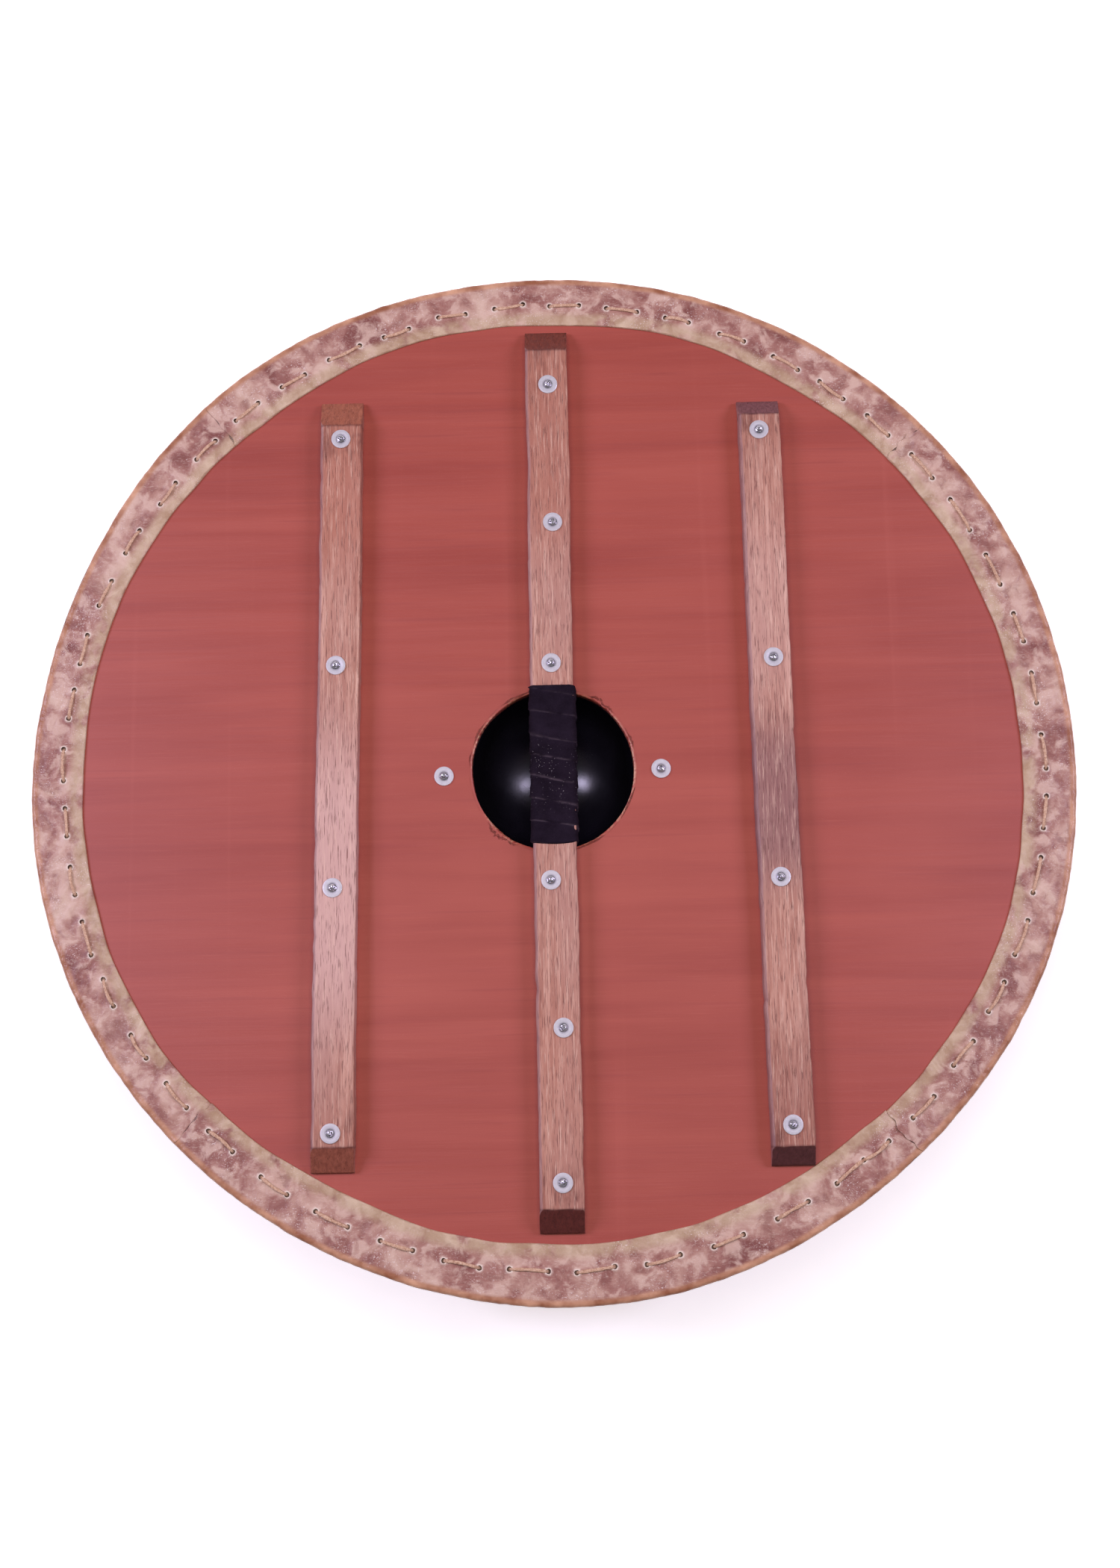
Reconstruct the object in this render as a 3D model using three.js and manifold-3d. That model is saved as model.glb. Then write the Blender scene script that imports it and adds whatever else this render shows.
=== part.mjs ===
// Round wooden shield with a hand hole, a steel boss, three battens and a rawhide edge.
// Millimetres, +Z up. The shield lies as it does when put down: back face up, on its boss and
// on one point of its rim. The origin is on the ground, at the flat spot of the boss.
//
// The pieces are made in the shield's own frame: the back face of the board is the plane z = 0,
// +z points out of the back, +y runs along the battens, and the boss stands out towards -z.
// The group at the end tilts that frame and sets it down on the ground.

import * as THREE from 'three';
import { mergeVertices } from 'three/addons/utils/BufferGeometryUtils.js';
import Module from 'manifold-3d';

const wasm = await Module();
wasm.setup();

// ---------------------------------------------------------------- driving dimensions

const GAP = 0.3; // clearance kept between pieces that touch
const FLATNESS = 0.01; // how far a face may be off flat and still be one face

const SHIELD_RADIUS = 400;
const BOARD_THICKNESS = 9;
const HAND_HOLE_RADIUS = 62.1;
const HAND_HOLE_SIDES = 40;

const RAWHIDE_THICKNESS = 1.8;
const RIM_CHAMFER = 2;
const SEGMENTS_PER_STRIP = 16;
// Angles run from +x towards +y. The inner radius is where each hand-cut strip ends.
const EDGE_STRIPS = [
  { name: 'edge_strip_top', from: 42.5, to: 132.4, innerRadius: 361, stitches: 13 },
  { name: 'edge_strip_left', from: 132.4, to: 223.8, innerRadius: 362, stitches: 13 },
  { name: 'edge_strip_bottom', from: 223.8, to: 312.4, innerRadius: 356, stitches: 11, doubled: true },
  { name: 'edge_strip_right', from: 312.4, to: 402.5, innerRadius: 360, stitches: 12 },
];

const LACE_RADIUS = 375.6; // the ring on which the lace is stitched
const LACE_WIDTH = 2.2;
const LACE_HEIGHT = 1.4;

const BATTEN_HEIGHT = 15;
const BATTEN_CHAMFER = 2;
const BATTEN_END_LIP = 4; // height left at the thin end of a bevel
// x at the upper and lower end of the batten's centre line, its ends, and its bevels' lengths
const BATTENS = [
  { name: 'batten_left', width: 32, xTop: -160.3, xBottom: -168.7, top: 297, bottom: -301,
    bevelTop: 22, bevelBottom: 18.5 },
  { name: 'batten_grip', width: 33, xTop: 0.5, xBottom: 0.5, top: 352, bottom: -348,
    bevelTop: 18.5, bevelBottom: 17.5 },
  { name: 'batten_right', width: 32, xTop: 165.8, xBottom: 172.2, top: 291, bottom: -302,
    bevelTop: 14, bevelBottom: 14 },
];

const WRAP_TOP = 63.3;
const WRAP_BOTTOM = -58.5;
const WRAP_THICKNESS = 1.2;

const BOSS_INNER_RADIUS = 62.5;
const BOSS_STEEL = 1.6;
const BOSS_FLANGE_RADIUS = 98;
const BOSS_CENTRE_Z = -20; // centre of the hemisphere, below a short straight wall
const BOSS_SIDES = 32;
const BOSS_OUTER_RINGS = 9;
const BOSS_INNER_RINGS = 6;

const SHANK_RADIUS = 2.5;
const RIVET_SIDES = 6;
const RIVET_HEAD_RADIUS = 6;
const RIVET_HEAD_HEIGHT = 3;
const PEENED_RADIUS = 3.3;
const PEENED_HEIGHT = 1.8;
const WASHER_RADIUS = 7.5;
const WASHER_HOLE_RADIUS = 3.05;
const WASHER_THICKNESS = 1.2;
const WASHER_SIDES = 8;
// The hand-set rivets: on the battens, and two that hold only the boss to the board
const RIVETS = [
  { name: 'left_1', x: -160.7, y: 263.5, on: 'batten' },
  { name: 'left_2', x: -164.9, y: 82.1, on: 'batten' },
  { name: 'left_3', x: -167.6, y: -89.6, on: 'batten' },
  { name: 'left_4', x: -169.3, y: -272.2, on: 'batten' },
  { name: 'grip_1', x: 1.7, y: 304.7, on: 'batten' },
  { name: 'grip_2', x: 3.4, y: 192.4, on: 'batten' },
  { name: 'grip_3', x: 0.2, y: 80.5, on: 'batten', throughBoss: true },
  { name: 'grip_4', x: -2.9, y: -87.1, on: 'batten', throughBoss: true },
  { name: 'grip_5', x: 4.3, y: -197.9, on: 'batten' },
  { name: 'grip_6', x: 1.7, y: -311.2, on: 'batten' },
  { name: 'right_1', x: 165.8, y: 263.7, on: 'batten' },
  { name: 'right_2', x: 170.4, y: 81.4, on: 'batten' },
  { name: 'right_3', x: 169.8, y: -88.2, on: 'batten' },
  { name: 'right_4', x: 171.9, y: -272.3, on: 'batten' },
  { name: 'boss_left', x: -83.7, y: -3.3, on: 'board', throughBoss: true },
  { name: 'boss_right', x: 82.7, y: -0.8, on: 'board', throughBoss: true },
];

// The flat spots that keep the shield from rolling: how deep the ground cuts each round form
const BOSS_FLAT_DEPTH = 0.6;
const RIM_FLAT_DEPTH = 0.25;

// ---------------------------------------------------------------- derived heights

const boardFront = -BOARD_THICKNESS;
const rawhideBack = GAP + RAWHIDE_THICKNESS; // outer faces of the rawhide's two sides
const rawhideFront = boardFront - GAP - RAWHIDE_THICKNESS;
const laceBack = rawhideBack + GAP + LACE_HEIGHT / 2; // middle of the lace on either side
const laceFront = rawhideFront - GAP - LACE_HEIGHT / 2;
const battenBottom = GAP;
const battenTop = battenBottom + BATTEN_HEIGHT;
const bossBack = boardFront - GAP; // the flange's face against the board
const bossFront = bossBack - BOSS_STEEL;
const bossOuterRadius = BOSS_INNER_RADIUS + BOSS_STEEL;
const boardRadius = SHIELD_RADIUS - RAWHIDE_THICKNESS - GAP;

// ---------------------------------------------------------------- materials

const finish = (color, roughness, metalness = 0) => new THREE.MeshStandardMaterial({ color,
  roughness, metalness });
const stainedPlywood = finish(0xa44e45, 0.5);
const battenWood = finish(0xb48476, 0.75);
const rawhide = finish(0xb69084, 0.6);
const laceLeather = finish(0xbe9e86, 0.7);
const blackSuede = finish(0x201922, 0.95);
const blackPaint = finish(0x100d14, 0.35, 0.2);
const zincSteel = finish(0xd2d0d5, 0.35, 1);

// ---------------------------------------------------------------- solids

/** A cutting solid from a closed three.js geometry: positions only, welded, no slivers. */
function solidFrom(geometry) {
  const bare = new THREE.BufferGeometry();
  bare.setAttribute('position', geometry.getAttribute('position'));
  if (geometry.index) bare.setIndex(geometry.index);
  const welded = mergeVertices(bare, 1e-4);
  const corners = welded.index.array;
  const kept = [];
  for (let i = 0; i < corners.length; i += 3) {
    const [a, b, c] = [corners[i], corners[i + 1], corners[i + 2]];
    if (a !== b && b !== c && c !== a) kept.push(a, b, c);
  }
  const vertProperties = new Float32Array(welded.getAttribute('position').array);
  return new wasm.Manifold(new wasm.Mesh({ numProp: 3, vertProperties, triVerts: new Uint32Array(kept) }));
}

/** Back to a three.js geometry, without the vertices that a cut leaves inside flat faces. */
function geometryFrom(solid) {
  const { vertProperties, triVerts } = solid.simplify(FLATNESS).getMesh();
  const geometry = new THREE.BufferGeometry();
  geometry.setAttribute('position', new THREE.BufferAttribute(new Float32Array(vertProperties), 3));
  geometry.setIndex(new THREE.BufferAttribute(new Uint32Array(triVerts), 1));
  geometry.computeVertexNormals();
  return geometry;
}

/** A flat outline, with holes, raised from one height to another. */
function prism(points, bottom, top) {
  const shape = new THREE.Shape(points.map(([x, y]) => new THREE.Vector2(x, y)));
  const geometry = new THREE.ExtrudeGeometry(shape, { depth: top - bottom, bevelEnabled: false });
  return geometry.translate(0, 0, bottom);
}

/** An upright cylinder with flat sides. */
function upright(radius, sides, bottom, top, x = 0, y = 0) {
  const geometry = new THREE.CylinderGeometry(radius, radius, top - bottom, sides);
  return geometry.rotateX(Math.PI / 2).translate(x, y, (bottom + top) / 2);
}

/** A box between two corners. */
function block(low, high) {
  const size = high.map((value, axis) => value - low[axis]);
  const middle = high.map((value, axis) => (value + low[axis]) / 2);
  return new THREE.BoxGeometry(...size).translate(...middle);
}

/** A turned form about the shield's axis, from [radius, z] points. */
function turned(profile, sides) {
  const geometry = new THREE.LatheGeometry(profile.map(([r, z]) => new THREE.Vector2(r, z)), sides);
  return geometry.rotateX(Math.PI / 2);
}

/** A skin over rings of points. The rings close on themselves, or their ends are capped. */
function skin(rings, capOutline) {
  const count = rings[0].length;
  const positions = rings.flat().flatMap((point) => point.toArray());
  const faces = [];
  const last = capOutline ? rings.length - 1 : rings.length;
  for (let ring = 0; ring < last; ring++) {
    const next = (ring + 1) % rings.length;
    for (let side = 0; side < count; side++) {
      const a = ring * count + side;
      const b = ring * count + ((side + 1) % count);
      const c = next * count + ((side + 1) % count);
      const d = next * count + side;
      faces.push(a, c, b, a, d, c);
    }
  }
  if (capOutline) {
    const end = (rings.length - 1) * count;
    for (const [a, b, c] of THREE.ShapeUtils.triangulateShape(capOutline, [])) {
      faces.push(a, b, c, end + a, end + c, end + b);
    }
  }
  const geometry = new THREE.BufferGeometry();
  geometry.setAttribute('position', new THREE.Float32BufferAttribute(positions, 3));
  geometry.setIndex(faces);
  return geometry;
}

const radians = THREE.MathUtils.degToRad;
const radial = (angle) => new THREE.Vector3(Math.cos(angle), Math.sin(angle), 0);
const tangent = (angle) => new THREE.Vector3(-Math.sin(angle), Math.cos(angle), 0);
const up = new THREE.Vector3(0, 0, 1);

// ---------------------------------------------------------------- the rest on the ground

// The shield leans until its rim touches the ground. The rim's lowest edge is (rimReach, rimDrop)
// from the centre of the boss's hemisphere, and the ground is one boss radius below that centre.
const topStrip = EDGE_STRIPS[0];
const halfFacet = radians((topStrip.to - topStrip.from) / SEGMENTS_PER_STRIP / 2);
const rimReach = (SHIELD_RADIUS - RIM_CHAMFER) * Math.cos(halfFacet);
const rimDrop = rawhideFront - BOSS_CENTRE_Z;
const centreHeight = bossOuterRadius - BOSS_FLAT_DEPTH;
const lean = Math.asin((centreHeight + RIM_FLAT_DEPTH) / Math.hypot(rimReach,
  rimDrop)) + Math.atan2(rimDrop, rimReach);

const shield = new THREE.Group();
shield.rotation.x = -lean;
shield.position.y = -BOSS_CENTRE_Z * Math.sin(lean);
shield.position.z = centreHeight - BOSS_CENTRE_Z * Math.cos(lean);
shield.updateMatrixWorld(true);

const underground = block([-500, -500, -50], [500, 500, 0]).applyMatrix4(shield.matrixWorld.clone().invert());
const ground = solidFrom(underground);

// ---------------------------------------------------------------- lace and its holes

// The section of the lace, across it and away from the wood
const laceSection = [
  [-LACE_WIDTH / 2, -LACE_HEIGHT / 2],
  [LACE_WIDTH / 2, -LACE_HEIGHT / 2],
  [0, LACE_HEIGHT / 2],
];

/** The holes in order round the rim. A stitch on the back rises at one and dives at the next. */
function laceHoles() {
  const holes = [];
  for (const strip of EDGE_STRIPS) {
    const count = 2 * strip.stitches + (strip.doubled ? 1 : 0);
    const step = (strip.to - strip.from) / count;
    for (let k = 0; k < count; k++) {
      const angle = radians(strip.from + (k + 0.5) * step);
      holes.push({ angle, dives: k % 2 === 1, spare: k === 2 * strip.stitches });
    }
  }
  return holes;
}

/** A ring of the lace's section at a hole. Upwards and along say how the section leans there. */
function laceRing(hole, z, upwards, along) {
  const centre = radial(hole.angle).multiplyScalar(LACE_RADIUS).setZ(z);
  const lift = new THREE.Vector3().addScaledVector(up, upwards).addScaledVector(tangent(hole.angle), along);
  return laceSection.map(([across, away]) =>
    centre.clone().addScaledVector(radial(hole.angle), across).addScaledVector(lift, away));
}

/** The running stitch: along the back, through the board, along the front and up again. */
function laceSolid(holes) {
  const rings = [];
  for (const hole of holes.filter((each) => !each.spare)) {
    const side = hole.dives ? 1 : -1;
    const back = laceRing(hole, laceBack, 1, side);
    const front = laceRing(hole, laceFront, 1, side);
    rings.push(...(hole.dives ? [back, front] : [front, back]));
  }
  let lace = solidFrom(skin(rings));
  // One extra stitch doubles back from a spare hole to the hole before it.
  const spare = holes.findIndex((each) => each.spare);
  const [from, to] = [holes[spare], holes[spare - 1]];
  const extra = [
    laceRing(from, laceFront, 0, 1),
    laceRing(from, laceBack, 1, 1),
    laceRing(to, laceBack, 1, -1),
    laceRing(to, laceFront, 0, -1),
  ];
  // It travels the other way round the rim, so its rings are turned over.
  const outline = laceSection.map(([x, y]) => new THREE.Vector2(x, y));
  const reversed = extra.map((ring) => [ring[1], ring[0], ring[2]]);
  lace = lace.add(solidFrom(skin(reversed, outline)));
  return lace;
}

/** The punched holes, a clearance wider than the lace all round. */
function laceCutter(holes) {
  const slope = Math.hypot(LACE_WIDTH / 2, LACE_HEIGHT);
  const inradius = (LACE_WIDTH * LACE_HEIGHT) / (LACE_WIDTH + 2 * slope);
  const centre = inradius - LACE_HEIGHT / 2;
  const grow = (inradius + GAP) / inradius;
  const wide = laceSection.map(([across, away]) => [across * grow, centre + (away - centre) * grow]);
  const prisms = [];
  const punch = (angle, side) => {
    const place = radial(angle).multiplyScalar(LACE_RADIUS);
    const corners = wide.map(([across, away]) =>
      place.clone().addScaledVector(radial(angle), across).addScaledVector(tangent(angle), away * side));
    const outline = corners.map((corner) => [corner.x, corner.y]);
    prisms.push(solidFrom(prism(outline, rawhideFront - 1, rawhideBack + 1)));
  };
  holes.forEach((hole, k) => {
    punch(hole.angle, hole.dives || hole.spare ? 1 : -1);
    const sharedWithSpare = holes[k + 1]?.spare;
    if (sharedWithSpare) punch(hole.angle, -1);
  });
  return wasm.Manifold.union(prisms);
}

const holes = laceHoles();
const punched = laceCutter(holes);

// ---------------------------------------------------------------- pieces

function addPiece(name, geometry, material) {
  const mesh = new THREE.Mesh(geometry, material);
  mesh.name = name;
  shield.add(mesh);
  return mesh;
}

/** The bores of a set of rivets, a clearance wider than the shank. */
function rivetBores(rivets) {
  const bores = rivets.map(({ x, y }) =>
    solidFrom(upright(SHANK_RADIUS + GAP / Math.cos(Math.PI / RIVET_SIDES), RIVET_SIDES, -30, 30, x, y)));
  return wasm.Manifold.union(bores);
}

function rimAngles(strip) {
  const step = (strip.to - strip.from) / SEGMENTS_PER_STRIP;
  return Array.from({ length: SEGMENTS_PER_STRIP + 1 }, (_, k) => radians(strip.from + k * step));
}

function addBoard() {
  const angles = EDGE_STRIPS.flatMap((strip) => rimAngles(strip).slice(0, -1));
  const outline = angles.map((angle) => [boardRadius * Math.cos(angle), boardRadius * Math.sin(angle)]);
  const handHole = upright(HAND_HOLE_RADIUS, HAND_HOLE_SIDES, boardFront - 1, 1);
  const board = solidFrom(prism(outline, boardFront, 0))
    .subtract(solidFrom(handHole))
    .subtract(rivetBores(RIVETS))
    .subtract(punched);
  addPiece('board', geometryFrom(board), stainedPlywood);
}

/** A rawhide strip folded over the board's edge, from its own joint to the next. */
function addEdgeStrip(strip) {
  const inside = SHIELD_RADIUS - RAWHIDE_THICKNESS;
  const profile = [
    [strip.innerRadius, rawhideFront],
    [SHIELD_RADIUS - RIM_CHAMFER, rawhideFront],
    [SHIELD_RADIUS, rawhideFront + RIM_CHAMFER],
    [SHIELD_RADIUS, rawhideBack - RIM_CHAMFER],
    [SHIELD_RADIUS - RIM_CHAMFER, rawhideBack],
    [strip.innerRadius, rawhideBack],
    [strip.innerRadius, GAP],
    [inside, GAP],
    [inside, boardFront - GAP],
    [strip.innerRadius, boardFront - GAP],
  ];
  const angles = rimAngles(strip);
  const endGap = GAP / 2 / SHIELD_RADIUS;
  angles[0] += endGap;
  angles[angles.length - 1] -= endGap;
  const rings = angles.map((angle) => profile.map(([r, z]) => radial(angle).multiplyScalar(r).setZ(z)));
  const outline = profile.map(([r, z]) => new THREE.Vector2(r, z));
  const solid = solidFrom(skin(rings, outline)).subtract(punched).subtract(ground);
  addPiece(strip.name, geometryFrom(solid), rawhide);
}

/** A batten: chamfered along its length, and bevelled down to a thin lip at both ends. */
function addBatten(batten) {
  const half = batten.width / 2;
  const section = [
    [-half, battenBottom],
    [half, battenBottom],
    [half, battenTop - BATTEN_CHAMFER],
    [half - BATTEN_CHAMFER, battenTop],
    [-half + BATTEN_CHAMFER, battenTop],
    [-half, battenTop - BATTEN_CHAMFER],
  ];
  const lip = battenBottom + BATTEN_END_LIP;
  const side = [
    [batten.bottom, battenBottom],
    [batten.top, battenBottom],
    [batten.top, lip],
    [batten.top - batten.bevelTop, battenTop],
    [batten.bottom + batten.bevelBottom, battenTop],
    [batten.bottom, lip],
  ];
  const bar = prism(section, -batten.top, -batten.bottom).rotateX(Math.PI / 2);
  const bevels = prism(side, -half - 1, half + 1).rotateX(Math.PI / 2).rotateZ(Math.PI / 2);
  const slope = (batten.xTop - batten.xBottom) / (batten.top - batten.bottom);
  const placed = geometryFrom(solidFrom(bar).intersect(solidFrom(bevels)))
    .rotateZ(-Math.atan(slope))
    .translate(batten.xTop - slope * batten.top, 0, 0);
  const solid = solidFrom(placed).subtract(rivetBores(RIVETS));
  addPiece(batten.name, geometryFrom(solid), battenWood);
}

/** The suede wound round the grip. Its underside ends where the board begins. */
function addGripWrap() {
  const grip = BATTENS.find((batten) => batten.name === 'batten_grip');
  const inner = grip.width / 2 + GAP;
  const outer = inner + WRAP_THICKNESS;
  const low = [grip.xTop - outer, WRAP_BOTTOM, battenBottom - GAP - WRAP_THICKNESS];
  const high = [grip.xTop + outer, WRAP_TOP, battenTop + GAP + WRAP_THICKNESS];
  const tunnelLow = [grip.xTop - inner, WRAP_BOTTOM - 1, battenBottom - GAP];
  const tunnelHigh = [grip.xTop + inner, WRAP_TOP + 1, battenTop + GAP];
  const overTheHole = upright(HAND_HOLE_RADIUS - 1, HAND_HOLE_SIDES, boardFront, GAP);
  const overTheBoard = block([-100, -100, boardFront], [100, 100, GAP]);
  const wrap = solidFrom(block(low, high))
    .subtract(solidFrom(block(tunnelLow, tunnelHigh)))
    .subtract(solidFrom(overTheBoard).subtract(solidFrom(overTheHole)));
  addPiece('grip_wrap', geometryFrom(wrap), blackSuede);
}

/** The boss: a flange, a short wall and a dome of even thickness, open to the hand. */
function addBoss() {
  const arc = (radius, rings, direction) => Array.from({ length: rings + 1 }, (_, k) => {
    const polar = (direction > 0 ? k : rings - k) * (Math.PI / 2 / rings);
    return [radius * Math.sin(polar), BOSS_CENTRE_Z - radius * Math.cos(polar)];
  });
  const profile = [
    ...arc(bossOuterRadius, BOSS_OUTER_RINGS, 1),
    [bossOuterRadius, bossFront],
    [BOSS_FLANGE_RADIUS, bossFront],
    [BOSS_FLANGE_RADIUS, bossBack],
    [BOSS_INNER_RADIUS, bossBack],
    ...arc(BOSS_INNER_RADIUS, BOSS_INNER_RINGS, -1),
  ];
  const boss = solidFrom(turned(profile, BOSS_SIDES))
    .subtract(rivetBores(RIVETS.filter((rivet) => rivet.throughBoss)))
    .subtract(ground);
  addPiece('boss', geometryFrom(boss), blackPaint);
}

/** A rivet with a domed head on the front and its end peened over a washer on the back. */
function addRivet(rivet) {
  const seat = rivet.on === 'batten' ? battenTop : 0;
  const head = (rivet.throughBoss ? bossFront : boardFront) - GAP;
  const washerTop = seat + GAP + WASHER_THICKNESS;
  const peened = washerTop + GAP;
  const shoulder = 0.6 * RIVET_HEAD_RADIUS;
  const profile = [
    [0, head - RIVET_HEAD_HEIGHT],
    [shoulder, head - 0.8 * RIVET_HEAD_HEIGHT],
    [RIVET_HEAD_RADIUS, head],
    [SHANK_RADIUS, head],
    [SHANK_RADIUS, peened],
    [PEENED_RADIUS, peened],
    [0, peened + PEENED_HEIGHT],
  ];
  const shape = addPiece(`rivet_${rivet.name}`, turned(profile, RIVET_SIDES), zincSteel);
  shape.position.set(rivet.x, rivet.y, 0);
  const washerProfile = [
    [WASHER_HOLE_RADIUS, seat + GAP],
    [WASHER_RADIUS, seat + GAP],
    [WASHER_RADIUS, washerTop],
    [WASHER_HOLE_RADIUS, washerTop],
    [WASHER_HOLE_RADIUS, seat + GAP],
  ];
  const washer = addPiece(`washer_${rivet.name}`, turned(washerProfile, WASHER_SIDES), zincSteel);
  washer.position.set(rivet.x, rivet.y, 0);
}

addBoard();
EDGE_STRIPS.forEach(addEdgeStrip);
addPiece('edge_lace', geometryFrom(laceSolid(holes)), laceLeather);
BATTENS.forEach(addBatten);
addGripWrap();
addBoss();
RIVETS.forEach(addRivet);

export default shield;
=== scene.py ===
"""The looks of a wooden round shield, lying on its boss with its back up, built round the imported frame.

Every piece is made in the shield's own frame, in metres: z = 0 is the board's back face, +z points
out of the back, +y runs along the battens. One matrix then lays the pieces down as the frame lies.
"""
import math

import bpy
import numpy as np
from mathutils import Matrix, Vector
from mathutils.geometry import delaunay_2d_cdt


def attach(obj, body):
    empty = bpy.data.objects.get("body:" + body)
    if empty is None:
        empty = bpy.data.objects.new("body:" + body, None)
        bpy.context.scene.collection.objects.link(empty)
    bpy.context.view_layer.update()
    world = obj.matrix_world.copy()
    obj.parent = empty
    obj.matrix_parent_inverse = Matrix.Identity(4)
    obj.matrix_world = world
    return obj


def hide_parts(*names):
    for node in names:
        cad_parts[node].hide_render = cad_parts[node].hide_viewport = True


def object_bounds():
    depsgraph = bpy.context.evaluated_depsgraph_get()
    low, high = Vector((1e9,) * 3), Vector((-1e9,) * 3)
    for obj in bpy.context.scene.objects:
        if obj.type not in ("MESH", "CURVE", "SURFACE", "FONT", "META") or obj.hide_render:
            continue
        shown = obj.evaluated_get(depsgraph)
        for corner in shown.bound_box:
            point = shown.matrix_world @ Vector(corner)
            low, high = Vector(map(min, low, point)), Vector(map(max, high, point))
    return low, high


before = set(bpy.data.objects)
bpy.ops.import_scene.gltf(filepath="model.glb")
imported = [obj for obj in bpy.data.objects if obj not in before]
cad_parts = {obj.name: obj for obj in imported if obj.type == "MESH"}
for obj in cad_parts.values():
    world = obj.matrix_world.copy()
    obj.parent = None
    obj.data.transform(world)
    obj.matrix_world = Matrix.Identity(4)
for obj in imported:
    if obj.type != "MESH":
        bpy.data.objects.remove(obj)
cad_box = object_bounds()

MM = 0.001

# ------------------------------------------------------------------ driving dimensions, in metres

RIM_RADIUS = 400 * MM
BOARD_THICKNESS = 9 * MM
BOARD_RADIUS = 397.6 * MM
HAND_HOLE_RADIUS = 62.1 * MM
RAWHIDE_THICKNESS = 1.8 * MM
CLEARANCE = 0.3 * MM
RIM_ROUNDING = 3.2 * MM
LACE_RADIUS = 375.6 * MM
LACE_WIDTH = 2.5 * MM
LACE_HEIGHT = 1.5 * MM
PUNCHED_RADIUS = 1.55 * MM
BATTEN_HEIGHT = 15 * MM
BATTEN_END_LIP = 4 * MM
BATTEN_ROUNDING = 2.4 * MM
BOSS_INNER_RADIUS = 62.5 * MM
BOSS_STEEL = 1.6 * MM
BOSS_FLANGE_RADIUS = 98 * MM
BOSS_CENTRE_DEPTH = 20 * MM
WRAP_THICKNESS = 1.5 * MM
WASHER_RADIUS = 7.5 * MM
WASHER_THICKNESS = 1.2 * MM
SHANK_RADIUS = 2.5 * MM

# How far the hand-made rim is off a circle: waves round it, the amplitude, and where each peaks
OUT_OF_ROUND = ((5, 1.1 * MM, -18), (4, 0.65 * MM, 24), (3, 0.45 * MM, 17), (7, 0.5 * MM, -26))

# Rawhide strips: joints in degrees, stitches, width at the inner edge, and which end lies on top
STRIPS = (
    dict(name="top", start=42.5, end=132.4, stitches=13, inner=361 * MM, laps_end=True),
    dict(name="left", start=132.4, end=223.8, stitches=13, inner=362 * MM, laps_end=False),
    dict(name="bottom", start=223.8, end=312.4, stitches=11, inner=356 * MM, laps_start=True, doubled=True),
    dict(name="right", start=312.4, end=402.5, stitches=12, inner=360 * MM, laps_start=True, laps_end=True),
)

BATTENS = (
    dict(name="left", width=32, x_top=-160.3, x_bottom=-168.7, top=297, bottom=-301, bevels=(22, 18.5)),
    dict(name="grip", width=33, x_top=0.5, x_bottom=0.5, top=352, bottom=-348, bevels=(18.5, 17.5)),
    dict(name="right", width=32, x_top=165.8, x_bottom=172.2, top=291, bottom=-302, bevels=(14, 14)),
)

# ------------------------------------------------------------------ where the frame lies


def shield_matrix():
    """The shield's own frame in the row frame, from the board's back face."""
    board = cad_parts["board"].data
    backs = [p for p in board.polygons if p.normal.z > 0.9]
    normal = sum((p.normal * p.area for p in backs), Vector()).normalized()
    lean = math.atan2(normal.y, normal.z)
    height = max(normal.dot(v.co) for v in board.vertices)
    # The centre of the boss's dome is straight above the origin.
    centre_height = (height - BOSS_CENTRE_DEPTH) / math.cos(lean)
    origin = Vector((0, 0, centre_height)) + normal * BOSS_CENTRE_DEPTH
    return Matrix.Translation(origin) @ Matrix.Rotation(-lean, 4, "X")


TO_WORLD = shield_matrix()

# ------------------------------------------------------------------ mesh helpers


def smoothstep(low, high, x):
    t = np.clip((np.asarray(x, float) - low) / (high - low), 0, 1)
    return t * t * (3 - 2 * t)


class Wobble:
    """A smooth periodic random line: waves of rising frequency with seeded phases."""

    def __init__(self, seed, lowest, highest, falloff=0.5):
        rng = np.random.default_rng(seed)
        self.k = np.arange(lowest, highest + 1)
        self.phase = rng.uniform(0, 2 * np.pi, len(self.k))
        weight = rng.uniform(0.4, 1, len(self.k)) * self.k ** -falloff
        self.weight = weight / np.sqrt((weight**2).sum() / 2)

    def __call__(self, angle):
        angle = np.asarray(angle, float)
        waves = np.cos(self.k * angle[..., None] + self.phase)
        return (self.weight * waves).sum(-1)


class Bumps:
    """A smooth random surface over a plane: plane waves of about one wavelength, seeded."""

    def __init__(self, seed, wavelength, waves=24, stretch=(1, 1)):
        rng = np.random.default_rng(seed)
        turn = rng.uniform(0, 2 * np.pi, waves)
        size = 2 * np.pi / wavelength * rng.uniform(0.6, 1.5, waves)
        self.kx = np.cos(turn) * size / stretch[0]
        self.ky = np.sin(turn) * size / stretch[1]
        self.phase = rng.uniform(0, 2 * np.pi, waves)
        self.scale = math.sqrt(2 / waves)

    def __call__(self, x, y):
        x, y = np.asarray(x, float), np.asarray(y, float)
        total = np.zeros(np.broadcast(x, y).shape)
        for kx, ky, phase in zip(self.kx, self.ky, self.phase):
            total += np.cos(kx * x + ky * y + phase)
        return total * self.scale


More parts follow.
